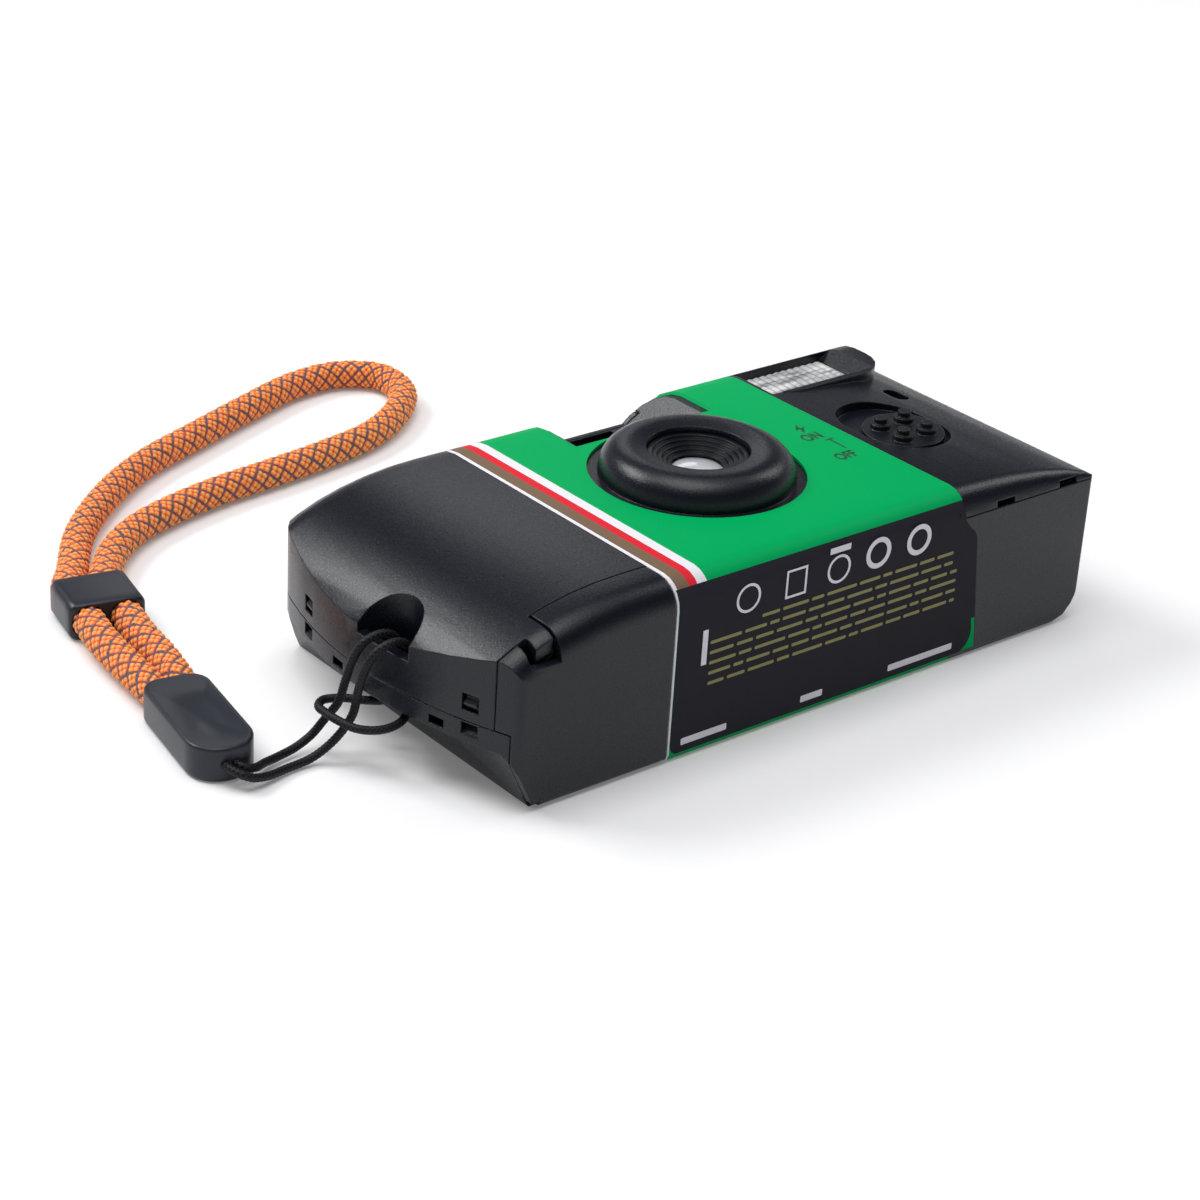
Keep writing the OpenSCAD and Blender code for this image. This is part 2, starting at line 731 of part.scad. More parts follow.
// The sleeve with no holes; grown by a gap inward and by room outward it is the step for it
module label_band(gap, room) {
    t = label_t + gap;
    difference() {
        yz_prism(label_x0 - gap, label_x1 + gap) polygon(section_2d(body_d, -room));
        yz_prism(label_x0 - over, label_x1 + over) polygon(section_2d(body_d, t));
    }
    xz_prism(-half_h - room, -half_h + t) polygon(concat(
        [[label_x1 - over, back_r], [label_x1 + flap_w + gap, back_r]],
        arc(label_x1, flap_top_z - over, flap_top_x + over + gap, 10, 60, corner_steps),
        [[label_x1 - over, flash_seam_z + over]]));
}

module notch_form(t) {
    foot = notch_z - t;
    lean = t * tan(22.5);
    polygon([[notch_left - t, body_d + 2 * over], [notch_left - t, foot], [notch_right + lean, foot],
        [notch_right + lean + body_d + 2 * over - foot, body_d + 2 * over]]);
}

// The notch's floor and walls: clear of the rear cover below the seam, under the sleeve above it
module notch_walls() {
    intersection() {
        xz_prism(notch_low - wall, top_in - seam_gap) notch_form(wall);
        union() {
            body_skin(wall + seam_gap);
            intersection() {
                body_skin(label_t + 2 * label_gap);
                above_seam(seam_gap);
            }
        }
    }
}

module dome_profile() {
    r = dome_shoulder;
    polygon(concat(
        [[dome_hole_r, front_in], [dome_r, front_in], [dome_r, dome_foot_z]],
        arc(dome_r - r, dome_z - r, r, 0, 90, corner_steps),
        [[dome_hole_r + 1, dome_z - dome_dish / 2], [dome_hole_r, dome_z - dome_dish]]));
}

// The flash housing stands level while the front falls away
module flash_housing() {
    intersection() {
        translate([0, 0, flash_block_z0]) linear_extrude(body_d) polygon(
            rounded_rect(label_x1 + seam_gap, flash_block_low, flash_block_x1, body_h, housing_r));
        yz_prism(label_x1, flash_block_x1 + over) polygon(section_2d(body_d, 0));
    }
}
module flash_opening() {
    xz_prism(flash_low, flash_y1) polygon([[flash_x0, flash_seam_z - 2 * wall],
        [flash_x1, flash_seam_z - 2 * wall], [flash_x1, window_top],
        [flash_x1 + flash_flare, body_d + seat], [flash_x1 + flash_flare, body_d + over],
        [flash_x0, body_d + over]]);
}

module switch_well(r, z0, z1) { long_hole(switch_x, switch_y, switch_y + switch_travel, r, z0, z1); }

module front_cover() {
    color(black) difference() {
        union() {
            difference() {
                intersection() {
                    body_solid(0);
                    above_seam(seam_gap);
                }
                body_solid(wall);
                label_band(label_gap, over / 2);
                rod_y(cartridge_x, cartridge_z, cartridge_r + drop_gap, base_in - over, wheel_y0);
                rod_y(cartridge_x, cartridge_z, wheel_r + move_gap, wheel_y0 - move_gap, wheel_y1 + move_gap);
            }
            translate([lens_x, lens_y, 0]) rotate_extrude($fn = 96) dome_profile();
            notch_walls();
            flash_housing();
            switch_well(well_r + wall, well_z - wall, pan_top);
            pocket_walls(grip_seam_z + seam_gap, body_d);
        }
        xz_prism(notch_low, half_h + over) notch_form(0);
        block([finder_x, finder_y0, notch_z - 2 * wall],
            [finder_x + finder_w - over, finder_y1, notch_z + over]);
        flash_opening();
        switch_well(well_r, well_z, body_d + over);
        long_hole(switch_x, switch_y - key_l / 2, switch_y + switch_travel + key_l / 2,
            key_w / 2 + move_gap, well_z - 2 * wall, well_z + over);
        long_hole(oval_x, oval_y - (oval_l - oval_w) / 2, oval_y + (oval_l - oval_w) / 2, oval_w / 2,
            flash_seam_z, body_d + over);
        rod_z(lens_x, lens_y, dome_hole_r, front_in - 2 * over, dome_z + over);
        strap_pocket();
        for (y = latches_y) at_end(y)
            block([-over, -latch_w / 2, latch_up_z], [wall + over, latch_w / 2, latch_up_z + latch_h]);
        for (x = seam_slots)
            block([x, -half_h - over, flash_seam_z],
                [x + seam_slot_w, base_in + over, flash_seam_z + seam_slot_h]);
        xz_prism(top_in - over, half_h + over) polygon(rounded_rect(
            button_x - button_w / 2 - drop_gap, button_z - button_d / 2 - drop_gap,
            button_x + button_w / 2 + drop_gap, button_z + button_d / 2 + drop_gap, corner_r));
        door_room(drop_gap);
    }
}

module rear_cover() {
    color(black) difference() {
        union() {
            difference() {
                intersection() {
                    body_solid(0);
                    difference() {
                        block([x_grip - over, -half_h - over, -over],
                            [x_flash + over, half_h + over, body_d]);
                        above_seam(0);
                    }
                }
                body_solid(wall);
                label_band(label_gap, over / 2);
                rod_y(cartridge_x, cartridge_z, cartridge_r + drop_gap, base_in - over,
                    cartridge_y1 + drop_gap);
            }
            pocket_walls(pocket_low, grip_seam_z);
            for (y = latches_y) at_end(y) {
                half = latch_w / 2 - drop_gap;
                block([wall + seam_gap, -half, ledge_z + wall / 2],
                    [wall + seam_gap + tongue_t, half, latch_up_z + latch_h - drop_gap]);
                block([wall / 2, -half, latch_up_z + drop_gap],
                    [wall + seam_gap + tongue_t / 2, half, latch_up_z + drop_gap + barb_h]);
            }
            for (s = [-1, 1]) difference() {
                block([battery_x - cradle_w / 2, s * cradle_y - cradle_t / 2, wall / 2],
                    [battery_x + cradle_w / 2, s * cradle_y + cradle_t / 2, battery_z - battery_r / 2]);
                rod_y(battery_x, battery_z, battery_r + drop_gap / 2, -half_h, half_h);
            }
        }
        for (y = latches_y) at_end(y)
            block([-over, -latch_w / 2, latch_low_z],
                [wall + seam_gap, latch_w / 2, latch_low_z + latch_low_h]);
        for (y = slots_y) at_end(y)
            block([-over, -slot_w / 2, ledge_z + wall / 2],
                [wall + over, slot_w / 2, ledge_z + wall / 2 + slot_h]);
        strap_pocket();
        xz_prism(top_in - over, half_h + over) notch_form(0);
        rod_y(cartridge_x, cartridge_z, wheel_r + move_gap, wheel_y0 - move_gap, wheel_y1 + move_gap);
        rod_y(cartridge_x, scoop_depth - scoop_r, scoop_r, bracket_y0, wheel_y1 + wall);
        block([dial_x - window_w / 2 - drop_gap / 2, top_in - over, window_z - window_d / 2 - drop_gap / 2],
            [dial_x + window_w / 2 + drop_gap / 2, half_h + over, window_z + window_d / 2 + drop_gap / 2]);
        block([finder_x + over, finder_y0 + over, -over],
            [finder_x + over + eyepiece_w, finder_y1 - over / 2, 2 * wall]);
        rod_z(lamp_x, lamp_y, lamp_r + run_gap, -over, 2 * wall);
        door_room(drop_gap);
        rod_x(bead_y, bead_z, bead_r + drop_gap, x_grip, door_x1 + drop_gap);
    }
}

module film_door() {
    color(black) {
        difference() {
            intersection() {
                body_solid(0);
                union() {
                    block([x_grip, -half_h, bead_z], [door_x1, base_in, body_d]);
                    block([nail_x1, -half_h, lip_low], [door_x1, lip_y, body_d]);
                    block([x_grip, -half_h, grip_seam_z + drop_gap],
                        [x_grip + tuck_low, -half_h + flange_w, body_d]);
                }
            }
            body_solid(wall);
            rod_y(cartridge_x, cartridge_z, cartridge_r + drop_gap, cartridge_y0 - drop_gap, half_h);
            block([nail_x1 - nail_w, -half_h - over, nail_low], [nail_x1 + over / 4, 0, body_d + over]);
        }
        rod_x(bead_y, bead_z, bead_r, bead_x0, door_x1);
    }
}

module label_sleeve() {
    color("#0aa858") difference() {
        label_band(0, 0);
        block([label_x0 - over, -half_h, -over], [label_x1 + over, half_h, label_sink]);
        rod_z(lens_x, lens_y, label_hole_r, front_in, dome_z);
        xz_prism(notch_low - notch_rim, half_h + over) notch_form(notch_rim);
        xz_prism(top_in - over, half_h + over) notch_form(wall + label_gap);
        block([finder_x, finder_y0, -over], [finder_x + eyepiece_w + 2 * over, finder_y1, over]);
        rod_z(lamp_x, lamp_y, lamp_r + over, -over, over);
        block([dial_x - window_w / 2 - over, top_in, window_z - window_d / 2 - over],
            [dial_x + window_w / 2 + over, half_h + over, window_z + window_d / 2 + over]);
    }
}

// A flat link from p to q with a round end
module link(p, q, w, z0, z1) {
    d = q - p;
    translate([p[0], p[1], z0]) rotate([0, 0, atan2(d[1], d[0])])
        translate([0, -w / 2, 0]) cube([norm(d), w, z1 - z0]);
    rod_z(q[0], q[1], w / 2 + seat, z0, z1);
}

// The exposure tunnel narrows from the film gate to the shutter
function gate_ring(w, h, z) = [for (p = [[-1, -1], [1, -1], [1, 1], [-1, 1]])
    [lens_x + p[0] * w / 2, lens_y + p[1] * h / 2, z]];
module tunnel_room() {
    loft([gate_ring(gate_w, gate_h, tunnel_z0 - over / 10),
        gate_ring(gate_front_w, gate_front_h, tunnel_z1 + over / 10)]);
}

module main_body() {
    rail = tunnel_half_w - rail_w;
    color(inner) difference() {
        union() {
            difference() {
                block([-tunnel_half_w, -tunnel_half_h, tunnel_z0],
                    [tunnel_half_w, tunnel_half_h, tunnel_z1]);
                tunnel_room();
                block([-tunnel_half_w - over, sprocket_y0 - move_gap, tunnel_z0 - over],
                    [sprocket_x + sprocket_r + 2 * tooth_h, tunnel_half_h + over,
                        sprocket_z + sprocket_r + 2 * tooth_h]);
            }
            block([-tunnel_half_w, plate_low - post_r, plate_z0], [tunnel_half_w, plate_high, plate_z1]);
            block([-tunnel_half_w, 0, plate_z0], [notch_left - wall - move_gap, tunnel_half_h, plate_z1]);
            for (x = [-tunnel_half_w, rail])
                block([x, -tunnel_half_h, tunnel_z1 - over], [x + rail_w, tunnel_half_h, plate_z0 + over]);
            rod_z(lens_x, lens_y, retainer_r, plate_z0, retainer_low);
            for (p = posts) rod_z(p[0], p[1], post_r, wall + foot_gap, plate_z1);
            for (s = [-1, 1]) {
                y0 = s > 0 ? arm_y : -arm_y - arm_plate_t;
                block([rail, y0, roll_z - arm_half], [roll_x + arm_half, y0 + arm_plate_t, roll_z + arm_half]);
                block([rail - over, s > 0 ? tunnel_half_h - over : y0, roll_z - arm_half],
                    [tunnel_half_w, s > 0 ? posts[2][1] : -tunnel_half_h + over, roll_z + arm_half]);
            }
            block([cartridge_x - bracket_half, bracket_y0, cartridge_z - bracket_half],
                [cartridge_x + bracket_half, bracket_y1, bracket_high]);
            block([cartridge_x, bracket_y0, bracket_low],
                [dial_x - pin_r - move_gap, bracket_y1, bracket_high]);
            block([-tunnel_half_w, tunnel_half_h - over, bracket_low],
                [dial_x - pin_r - move_gap, bracket_y1, bracket_high]);
            rod_y(dial_x, dial_z, pin_r, tunnel_half_h - over, dial_y0 + dial_t + drop_gap);
            for (x = [finder_x - wall - drop_gap, finder_x + finder_w + drop_gap])
                block([x, tunnel_half_h - over, tunnel_z0],
                    [x + wall, finder_y1, notch_z - wall - drop_gap]);
            rod_z(blade_pivot[0], blade_pivot[1], pin_r, tunnel_z1 - over, plate_z0 + over);
            for (p = [drive_pivot, lock_pivot]) rod_z(p[0], p[1], pin_r, plate_z0, pin_top);
            rod_z(anchor_at[0], anchor_at[1], peg_r, plate_z0, spring_z + spring_r);
            for (y = [-shelf_l, shelf_l / 2])
                block([rail, y, plate_z0 - over], [tunnel_half_w + shelf_w, y + shelf_l / 2, board_z0]);
        }
        rod_z(lens_x, lens_y, light_hole_r, plate_z0 - over, retainer_low + over);
        rod_z(lens_x, lens_y, stop_disc_r + drop_gap / 2, retainer_low - stop_t - seat, retainer_low + over);
        block([tab_at[0] - tab_w, tab_at[1] - tab_w - tab_travel / 4, plate_z0 - over / 4],
            [tab_at[0] + tab_travel + tab_w, tab_at[1] + tab_w, plate_z1 + over / 4]);
        rod_y(roll_x, roll_z, supply_pin_r + run_gap, -half_h, half_h);
        rod_y(cartridge_x, cartridge_z, journal_r + run_gap, bracket_y0 - over, bracket_y1 + over);
        rod_y(sprocket_x, sprocket_z, sprocket_pin_r + run_gap, sprocket_y0 - 2 * over, sprocket_y0);
    }
}

module lens_retainer() {
    top = retainer_low + retainer_steps * retainer_step_z + retainer_foot;
    color(inner) difference() {
        rod_z(lens_x, lens_y, retainer_r, retainer_low, top, $fn = 96);
        rod_z(lens_x, lens_y, lens_r + run_gap, retainer_low - over, retainer_low + lens_t - lens_lip);
        for (k = [0:retainer_steps - 1])
            rod_z(lens_x, lens_y, retainer_r - retainer_rim - k * retainer_step_r,
                top - (k + 1) * retainer_step_z, top + over);
    }
}

module taking_lens() {
    color("#9fb4c4") translate([lens_x, lens_y, retainer_low]) rotate_extrude($fn = 64) polygon(concat(
        [[0, 0], [lens_r, 0], [lens_r, lens_t / 2]],
        [for (k = [0:8]) let (r = (lens_r - lens_rim) * (1 - k / 8))
            [r, lens_t - (lens_t / 2 - lens_crown) * pow(r / lens_r, 2)]]));
}

module aperture_plate() {
    color(metal) difference() {
        rod_z(lens_x, lens_y, stop_disc_r, retainer_low - stop_t - seat, retainer_low - seat);
        rod_z(lens_x, lens_y, stop_r, retainer_low - over, retainer_low + over);
    }
}

module shutter_blade() {
    z1 = blade_z0 + blade_t;
    color(metal) difference() {
        union() {
            rod_z(blade_pivot[0], blade_pivot[1], hub_r, blade_z0, z1);
            link(blade_pivot, [lens_x, lens_y], 2 * link_w, blade_z0, z1);
            rod_z(lens_x, lens_y, blade_r, blade_z0, z1);
            link(blade_pivot, tab_at, tab_w, blade_z0, z1);
            block([tab_at[0] - tab_w / 2, tab_at[1] - blade_t, blade_z0],
                [tab_at[0] + tab_w / 2, tab_at[1] + blade_t, lever_z1]);
        }
        rod_z(blade_pivot[0], blade_pivot[1], pin_r + run_gap, 0, body_d);
    }
}

module drive_lever() {
    color("#d9d4c8") difference() {
        union() {
            rod_z(drive_pivot[0], drive_pivot[1], hub_r, lever_z0, lever_z1);
            link(drive_pivot, drive_tip, link_w, lever_z0, lever_z1);
            link(drive_pivot, drive_catch, link_w, lever_z0, lever_z1);
            link(drive_pivot, drive_peg, link_w, lever_z0, lever_z1);
            rod_z(drive_peg[0], drive_peg[1], peg_r, lever_z0, spring_z + spring_r);
        }
        rod_z(drive_pivot[0], drive_pivot[1], pin_r + run_gap, 0, body_d);
    }
}

// A drawn spring from the lever's peg to the anchor: a coil with straight ends
function coil_points(x0, y, z) = [for (k = [0:spring_turns * spring_steps])
    let (a = 360 * k / spring_steps)
    [x0 + spring_pitch * k / spring_steps, y + spring_r * sin(a), z + spring_r * cos(a)]];
module drive_spring() {
    end = peg_r + spring_wire_r + 0.05;
    x0 = (drive_peg[0] + anchor_at[0] - spring_pitch * spring_turns) / 2;
    x1 = x0 + spring_pitch * spring_turns;
    y = drive_peg[1];
    z = spring_z + spring_r;
    color(metal) tube(concat(
        [[drive_peg[0] + end, y, z], [x0 - 0.8, y, z]], coil_points(x0, y, spring_z),
        [[x1 + 0.8, y, z], [anchor_at[0] - end, y, z]]), spring_wire_r, 6);
}

module lock_lever() {
    color("#d9d4c8") difference() {
        union() {
            rod_z(lock_pivot[0], lock_pivot[1], hub_r, lever_z0, lever_z1);
            link(lock_pivot, lock_tip, link_w, lever_z0, lever_z1);
            link(lock_pivot, lock_hook, link_w, lever_z0, lever_z1);
        }
        rod_z(lock_pivot[0], lock_pivot[1], pin_r + run_gap, 0, body_d);
    }
}

module shutter_button() {
    color(black) {
        xz_prism(button_y0, button_y1) polygon(rounded_rect(button_x - button_w / 2, button_z - button_d / 2,
            button_x + button_w / 2, button_z + button_d / 2, corner_r));
        block([button_x - button_neck, button_arm_y0, button_z],
            [button_x + button_neck, button_y1 - wall / 2, button_z + button_d / 2 - drop_gap]);
        block([button_x, button_arm_y0, button_arm_z0], [stem_x1, button_arm_y1, button_arm_z1]);
        block([stem_x1 - stem_w, stem_low, button_arm_z0], [stem_x1, button_arm_y1, button_arm_z1]);
        block([stem_x1 - stem_w, stem_low, button_arm_z0], [stem_x1, button_arm_y0 - drop_gap, stem_z1]);
    }
}

// A round outline with ribs
module ribbed(r, ribs) {
    polygon([for (k = [0:2 * ribs - 1]) let (q = r - (k % 2) * rib_depth, a = 180 * k / ribs)
        [q * cos(a), q * sin(a)]]);
}

module thumb_wheel() {
    color(black) {
        xz_prism(wheel_y0, wheel_y1) translate([cartridge_x, cartridge_z]) ribbed(wheel_r, wheel_ribs);
        rod_y(cartridge_x, cartridge_z, journal_r, cartridge_y1 + drop_gap, wheel_y0 + over);
        block([cartridge_x - fork_t / 2, cartridge_y1 - cap_t, cartridge_z - fork_w / 2],
            [cartridge_x + fork_t / 2, wheel_y0, cartridge_z + fork_w / 2]);
    }
}

module film_sprocket() {
    mid = (sprocket_y0 + sprocket_y1) / 2;
    color("#e6e2d8") {
        rod_y(sprocket_x, sprocket_z, sprocket_r, sprocket_y0, sprocket_y1);
        rod_y(sprocket_x, sprocket_z, sprocket_pin_r, sprocket_y0 - 1.8, sprocket_top);
        rod_y(sprocket_x, sprocket_z, sprocket_r, sprocket_top - 1.2, sprocket_top);
        for (k = [0:sprocket_teeth - 1])
            translate([sprocket_x, mid, sprocket_z]) rotate([0, 360 * k / sprocket_teeth, 0])
                block([0, -tooth_w, -tooth_w / 2], [sprocket_r + tooth_h, tooth_w, tooth_w / 2]);
    }
}

module counter_dial() {
    color("#e8e8e8") difference() {
        xz_prism(dial_y0, dial_y0 + dial_t) translate([dial_x, dial_z]) ribbed(dial_r, dial_teeth);
        rod_y(dial_x, dial_z, pin_r + run_gap, 0, half_h);
    }
}

module counter_window() {
    color("#c9d6dd") {
        block([dial_x - window_w / 2, top_in - drop_gap / 2, window_z - window_d / 2],
            [dial_x + window_w / 2, half_h - label_t, window_z + window_d / 2]);
        block([dial_x - window_w / 2 - 0.8, top_in - 0.8, window_z - window_d / 2 - 0.8],
            [dial_x + window_w / 2 + 0.8, top_in - 0.02, window_z + window_d / 2 + 0.8]);
    }
}

module viewfinder_front_lens() {
    z1 = notch_z - wall - 0.05;
    color("#aebdca") block([finder_x, finder_y0, z1 - finder_front_t], [finder_x + finder_w, finder_y1, z1]);
}

module viewfinder_rear_lens() {
    z0 = wall + 0.05;
    color("#aebdca") {
        block([finder_x, finder_y0, z0], [finder_x + finder_w, finder_y1, z0 + finder_rear_t]);
        block([finder_x + over + drop_gap, finder_y0 + over + drop_gap, wall / 2],
            [finder_x + over + eyepiece_w - drop_gap, finder_y1 - over / 2 - drop_gap, z0 + over]);
    }
}

module film_cartridge() {
    color("#6f7f4f") difference() {
        union() {
            rod_y(cartridge_x, cartridge_z, cartridge_r, cartridge_y0, cartridge_y1, $fn = 96);
            block([film_x0 - mouth_w, cartridge_y0 + 2 * cap_t, film_z + film_t / 2 - mouth_t / 2],
                [film_x0 + mouth_w / 2, cartridge_y1 - 2 * cap_t, film_z + film_t / 2 + mouth_t / 2]);
        }
        rod_y(cartridge_x, cartridge_z, cartridge_r - can_t, cartridge_y0 + cap_t, cartridge_y1 - cap_t,
            $fn = 96);
        rod_y(cartridge_x, cartridge_z, journal_r + run_gap, cartridge_y0 - over, cartridge_y1 + over);
        block([film_x0 - 2 * mouth_w, -film_w / 2 - drop_gap, film_z - film_t / 2],
            [film_x0 + mouth_w, film_w / 2 + drop_gap, film_z + 3 * film_t / 2]);
    }
}

module cartridge_spool() {
    color("#3a3a3a") difference() {
        union() {
            rod_y(cartridge_x, cartridge_z, spool_r, cartridge_y0 + cap_t + drop_gap,
                cartridge_y1 - cap_t - drop_gap);
            rod_y(cartridge_x, cartridge_z, journal_r, cartridge_y0, cartridge_y1);
        }
        block([cartridge_x - fork_t / 2 - run_gap, cartridge_y1 - cap_t - run_gap,
                cartridge_z - fork_w / 2 - run_gap],
            [cartridge_x + fork_t / 2 + run_gap, half_h, cartridge_z + fork_w / 2 + run_gap]);
    }
}

module film_strip() {
    color("#54402f") block([film_x0, -film_w / 2, film_z], [film_x1, film_w / 2, film_z + film_t]);
}

module film_roll() {
    color("#54402f") difference() {
        rod_y(roll_x, roll_z, roll_r, -film_w / 2, film_w / 2, $fn = 96);
        rod_y(roll_x, roll_z, supply_r + 0.02, -half_h, half_h);
    }
}

module supply_spool() {
    color("#3a3a3a") {
        rod_y(roll_x, roll_z, supply_r, -film_w / 2 - drop_gap, film_w / 2 + drop_gap);
        rod_y(roll_x, roll_z, supply_pin_r, -arm_y - arm_plate_t, arm_y + arm_plate_t);
    }
}

module flash_window() {
    gap = drop_gap / 2;
    w = (flash_w - 2 * gap) / prisms;
    color("#dfe6ea") {
        block([flash_x0 + gap, flash_low + gap, window_top - window_t],
            [flash_x1 - gap, flash_y1 - gap, window_top - prism_h]);
        xz_prism(flash_low + gap, flash_y1 - gap) polygon(concat(
            [[flash_x0 + gap, window_top - window_t]],
            [for (k = [0:prisms - 1]) each [[flash_x0 + gap + k * w, window_top - prism_h],
                [flash_x0 + gap + (k + 0.5) * w, window_top]]],
            [[flash_x1 - gap, window_top - prism_h], [flash_x1 - gap, window_top - window_t]]));
    }
}

module flash_reflector() {
    x0 = flash_x0 + drop_gap;
    x1 = flash_x1 - drop_gap;
    half = flash_h / 2 - drop_gap;
    deep = reflector_z1 - reflector_z0 - reflector_wall;
    color(metal) difference() {
        block([x0, tube_y - half, reflector_z0], [x1, tube_y + half, reflector_z1]);
        yz_prism(x0 + reflector_wall, x1 - reflector_wall) polygon(concat(
            [for (k = [-reflector_steps:reflector_steps]) let (t = k / reflector_steps)
                [tube_y + t * (half - reflector_wall), reflector_z0 + reflector_wall + deep * t * t]],
            [[tube_y + half - reflector_wall, reflector_z1 + over],
                [tube_y - half + reflector_wall, reflector_z1 + over]]));
        rod_x(tube_y, tube_z, tube_r + run_gap, x0 - over, x1 + over);
    }
}

module flash_tube() {
    color("#e3e9ee") rod_x(tube_y, tube_z, tube_r, flash_x0 - tube_over / 2, flash_x1 + tube_over);
}

module flash_board() {
    color("#2f6b3c") block([board_x0, board_y0, board_z0 + seat], [board_x1, board_y1, board_z1]);
}

module main_capacitor() {
    color("#24314f") {
        rod_y(capacitor_x, capacitor_z, capacitor_r, capacitor_y0, capacitor_y0 + capacitor_l);
        for (s = [-1, 1]) block([board_x1 - over, lead_y + s * lead_half - lead_r, board_z1 + seat],
            [capacitor_x, lead_y + s * lead_half + lead_r, board_z1 + 2 * lead_r]);
        for (s = [-1, 1]) block([capacitor_x - lead_r, lead_y + s * lead_half - lead_r, capacitor_z],
            [capacitor_x + lead_r, lead_y + s * lead_half + lead_r, board_z1 + 2 * lead_r]);
    }
}

module transformer() {
    x1 = transformer_x + transformer_w;
    y1 = transformer_y + transformer_h;
    z1 = transformer_z + transformer_d;
    color(copper) {
        for (y = [transformer_y, y1 - flange_t])
            block([transformer_x, y, transformer_z], [x1, y + flange_t, z1]);
        rod_y((transformer_x + x1) / 2, (transformer_z + z1) / 2, transformer_d / 2 - drop_gap,
            transformer_y + flange_t / 2, y1 - flange_t / 2);
    }
}

module trigger_coil() {
    color(copper) rod_y(capacitor_x, transformer_z + trigger_r, trigger_r, trigger_y, trigger_y + trigger_l);
}

module battery() {
    color("#b58a3c") {
        rod_y(battery_x, battery_z, battery_r, battery_y0, battery_y0 + battery_l - battery_nub_l);
        rod_y(battery_x, battery_z, battery_nub_r, battery_y0, battery_y0 + battery_l);
    }
}

module battery_contact(y0) {
    color(metal) block([battery_x - contact_half, y0, battery_z - contact_half],
        [battery_x + contact_half, y0 + contact_t, battery_z + battery_r]);
}
module battery_contact_plus() { battery_contact(battery_y0 + battery_l + seat); }
module battery_contact_minus() { battery_contact(battery_y0 - contact_t - seat); }

module flash_switch() {
    z1 = disc_z0 + disc_t;
    foot_z = well_z - wall - move_gap;
    color(black) {
        rod_z(switch_x, switch_y, switch_r, disc_z0, z1, $fn = 96);
        for (a = [45:90:315]) {
            x = switch_x + nub_ring * cos(a);
            y = switch_y + nub_ring * sin(a);
            rod_z(x, y, nub_r, z1 - over / 4, z1 + nub_h);
            rod_z(x, y, nub_tip_r, z1, z1 + nub_tip_h);
        }
        block([switch_x - key_w / 2, switch_y - key_l / 2, foot_z - key_foot_t / 2],
            [switch_x + key_w / 2, switch_y + key_l / 2, disc_z0 + over / 4]);
        rod_z(switch_x, switch_y, key_foot_r, foot_z - key_foot_t, foot_z);
    }
}

module switch_contact() {
    x0 = switch_x - key_foot_r;
    color(copper) {
        y0 = switch_y - strip_l / 2;
        block([x0, y0, board_z1 + seat], [x0 + strip_w, y0 + strip_l, board_z1 + strip_t]);
        block([x0, y0, board_z1 + seat], [x0 + 2 * key_foot_r, y0 + strip_w / 2, board_z1 + 2 * strip_t]);
    }
}

module sync_contact() {
    x0 = tunnel_half_w - strip_l;
    y0 = plate_low + strip_l;
    color(copper) {
        block([x0, y0, plate_z1 + seat], [x0 + sync_l, y0 + strip_w, plate_z1 + strip_t]);
        block([x0, y0, plate_z1 + seat], [x0 + strip_w / 2, y0 + sync_l, plate_z1 + 2 * strip_t]);
    }
}

module ready_lamp() {
    color("#d8622c") {
        rod_z(lamp_x, lamp_y, lamp_r, label_sink, lamp_h);
        rod_z(lamp_x, lamp_y, lamp_r + lamp_rim, wall + seat, wall + lamp_flange);
    }
}

module strap_end_cap() {
    half = cap_w / 2;
    long = cap_l / 2;
    t = cap_tail_r;
    color(black) translate([cap_at[0], cap_at[1], 0]) rotate([0, 0, cap_turn]) difference() {
        translate([0, 0, cap_low]) linear_extrude(cap_h) polygon(concat(
            arc(half - t, -long + t, t, 270, 360, corner_steps),
            arc(half - cap_round, long - cap_round, cap_round, 0, 90, corner_steps),
            arc(-half + cap_round, long - cap_round, cap_round, 90, 180, corner_steps),
            arc(-half + t, -long + t, t, 180, 270, corner_steps)));
        for (s = [-1, 1]) rod_y(s * cap_strand, rope_z, rope_end_r + seat, long - cap_bore, long + over);
        for (x = cord_strands) rod_y(x, rope_z, cord_r + seat, -long - over, -long + cord_bore);
        rod_x(0, cap_low + cap_h + cap_dish_r - cap_dish, cap_dish_r, -half + cap_rim, half - cap_rim,
            $fn = 240);
    }
}

module strap_slider() {
    half = slider_w / 2;
    color(black) translate([slider_at[0], slider_at[1], 0]) rotate([0, 0, slider_turn]) difference() {
        xz_prism(-slider_l / 2, slider_l / 2) polygon(
            rounded_rect(-half, slider_low, half, slider_low + slider_h, slider_round));
        for (s = [-1, 1]) rod_y(s * strand_half, rope_z, rope_hole_r, -slider_l, slider_l);
    }
}

module strap_rope() { color("#f06a24") tube(rope_route, rope_girth, rope_sides); }
module strap_cord() { color("#202226") tube(cord_route, cord_r, cord_sides); }

front_cover();
rear_cover();
film_door();
label_sleeve();
main_body();
lens_retainer();
taking_lens();
aperture_plate();
shutter_blade();
drive_lever();
drive_spring();
lock_lever();
shutter_button();
thumb_wheel();
film_sprocket();
counter_dial();
counter_window();
viewfinder_front_lens();
viewfinder_rear_lens();
film_cartridge();
cartridge_spool();
film_strip();
film_roll();
supply_spool();
flash_window();
flash_reflector();
flash_tube();
flash_board();
main_capacitor();
transformer();
trigger_coil();
battery();
battery_contact_plus();
battery_contact_minus();
flash_switch();
switch_contact();
sync_contact();
ready_lamp();
strap_end_cap();
strap_slider();
strap_rope();
strap_cord();
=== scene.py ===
import math
import bpy
import bmesh
import numpy as np
from mathutils import Matrix, Vector


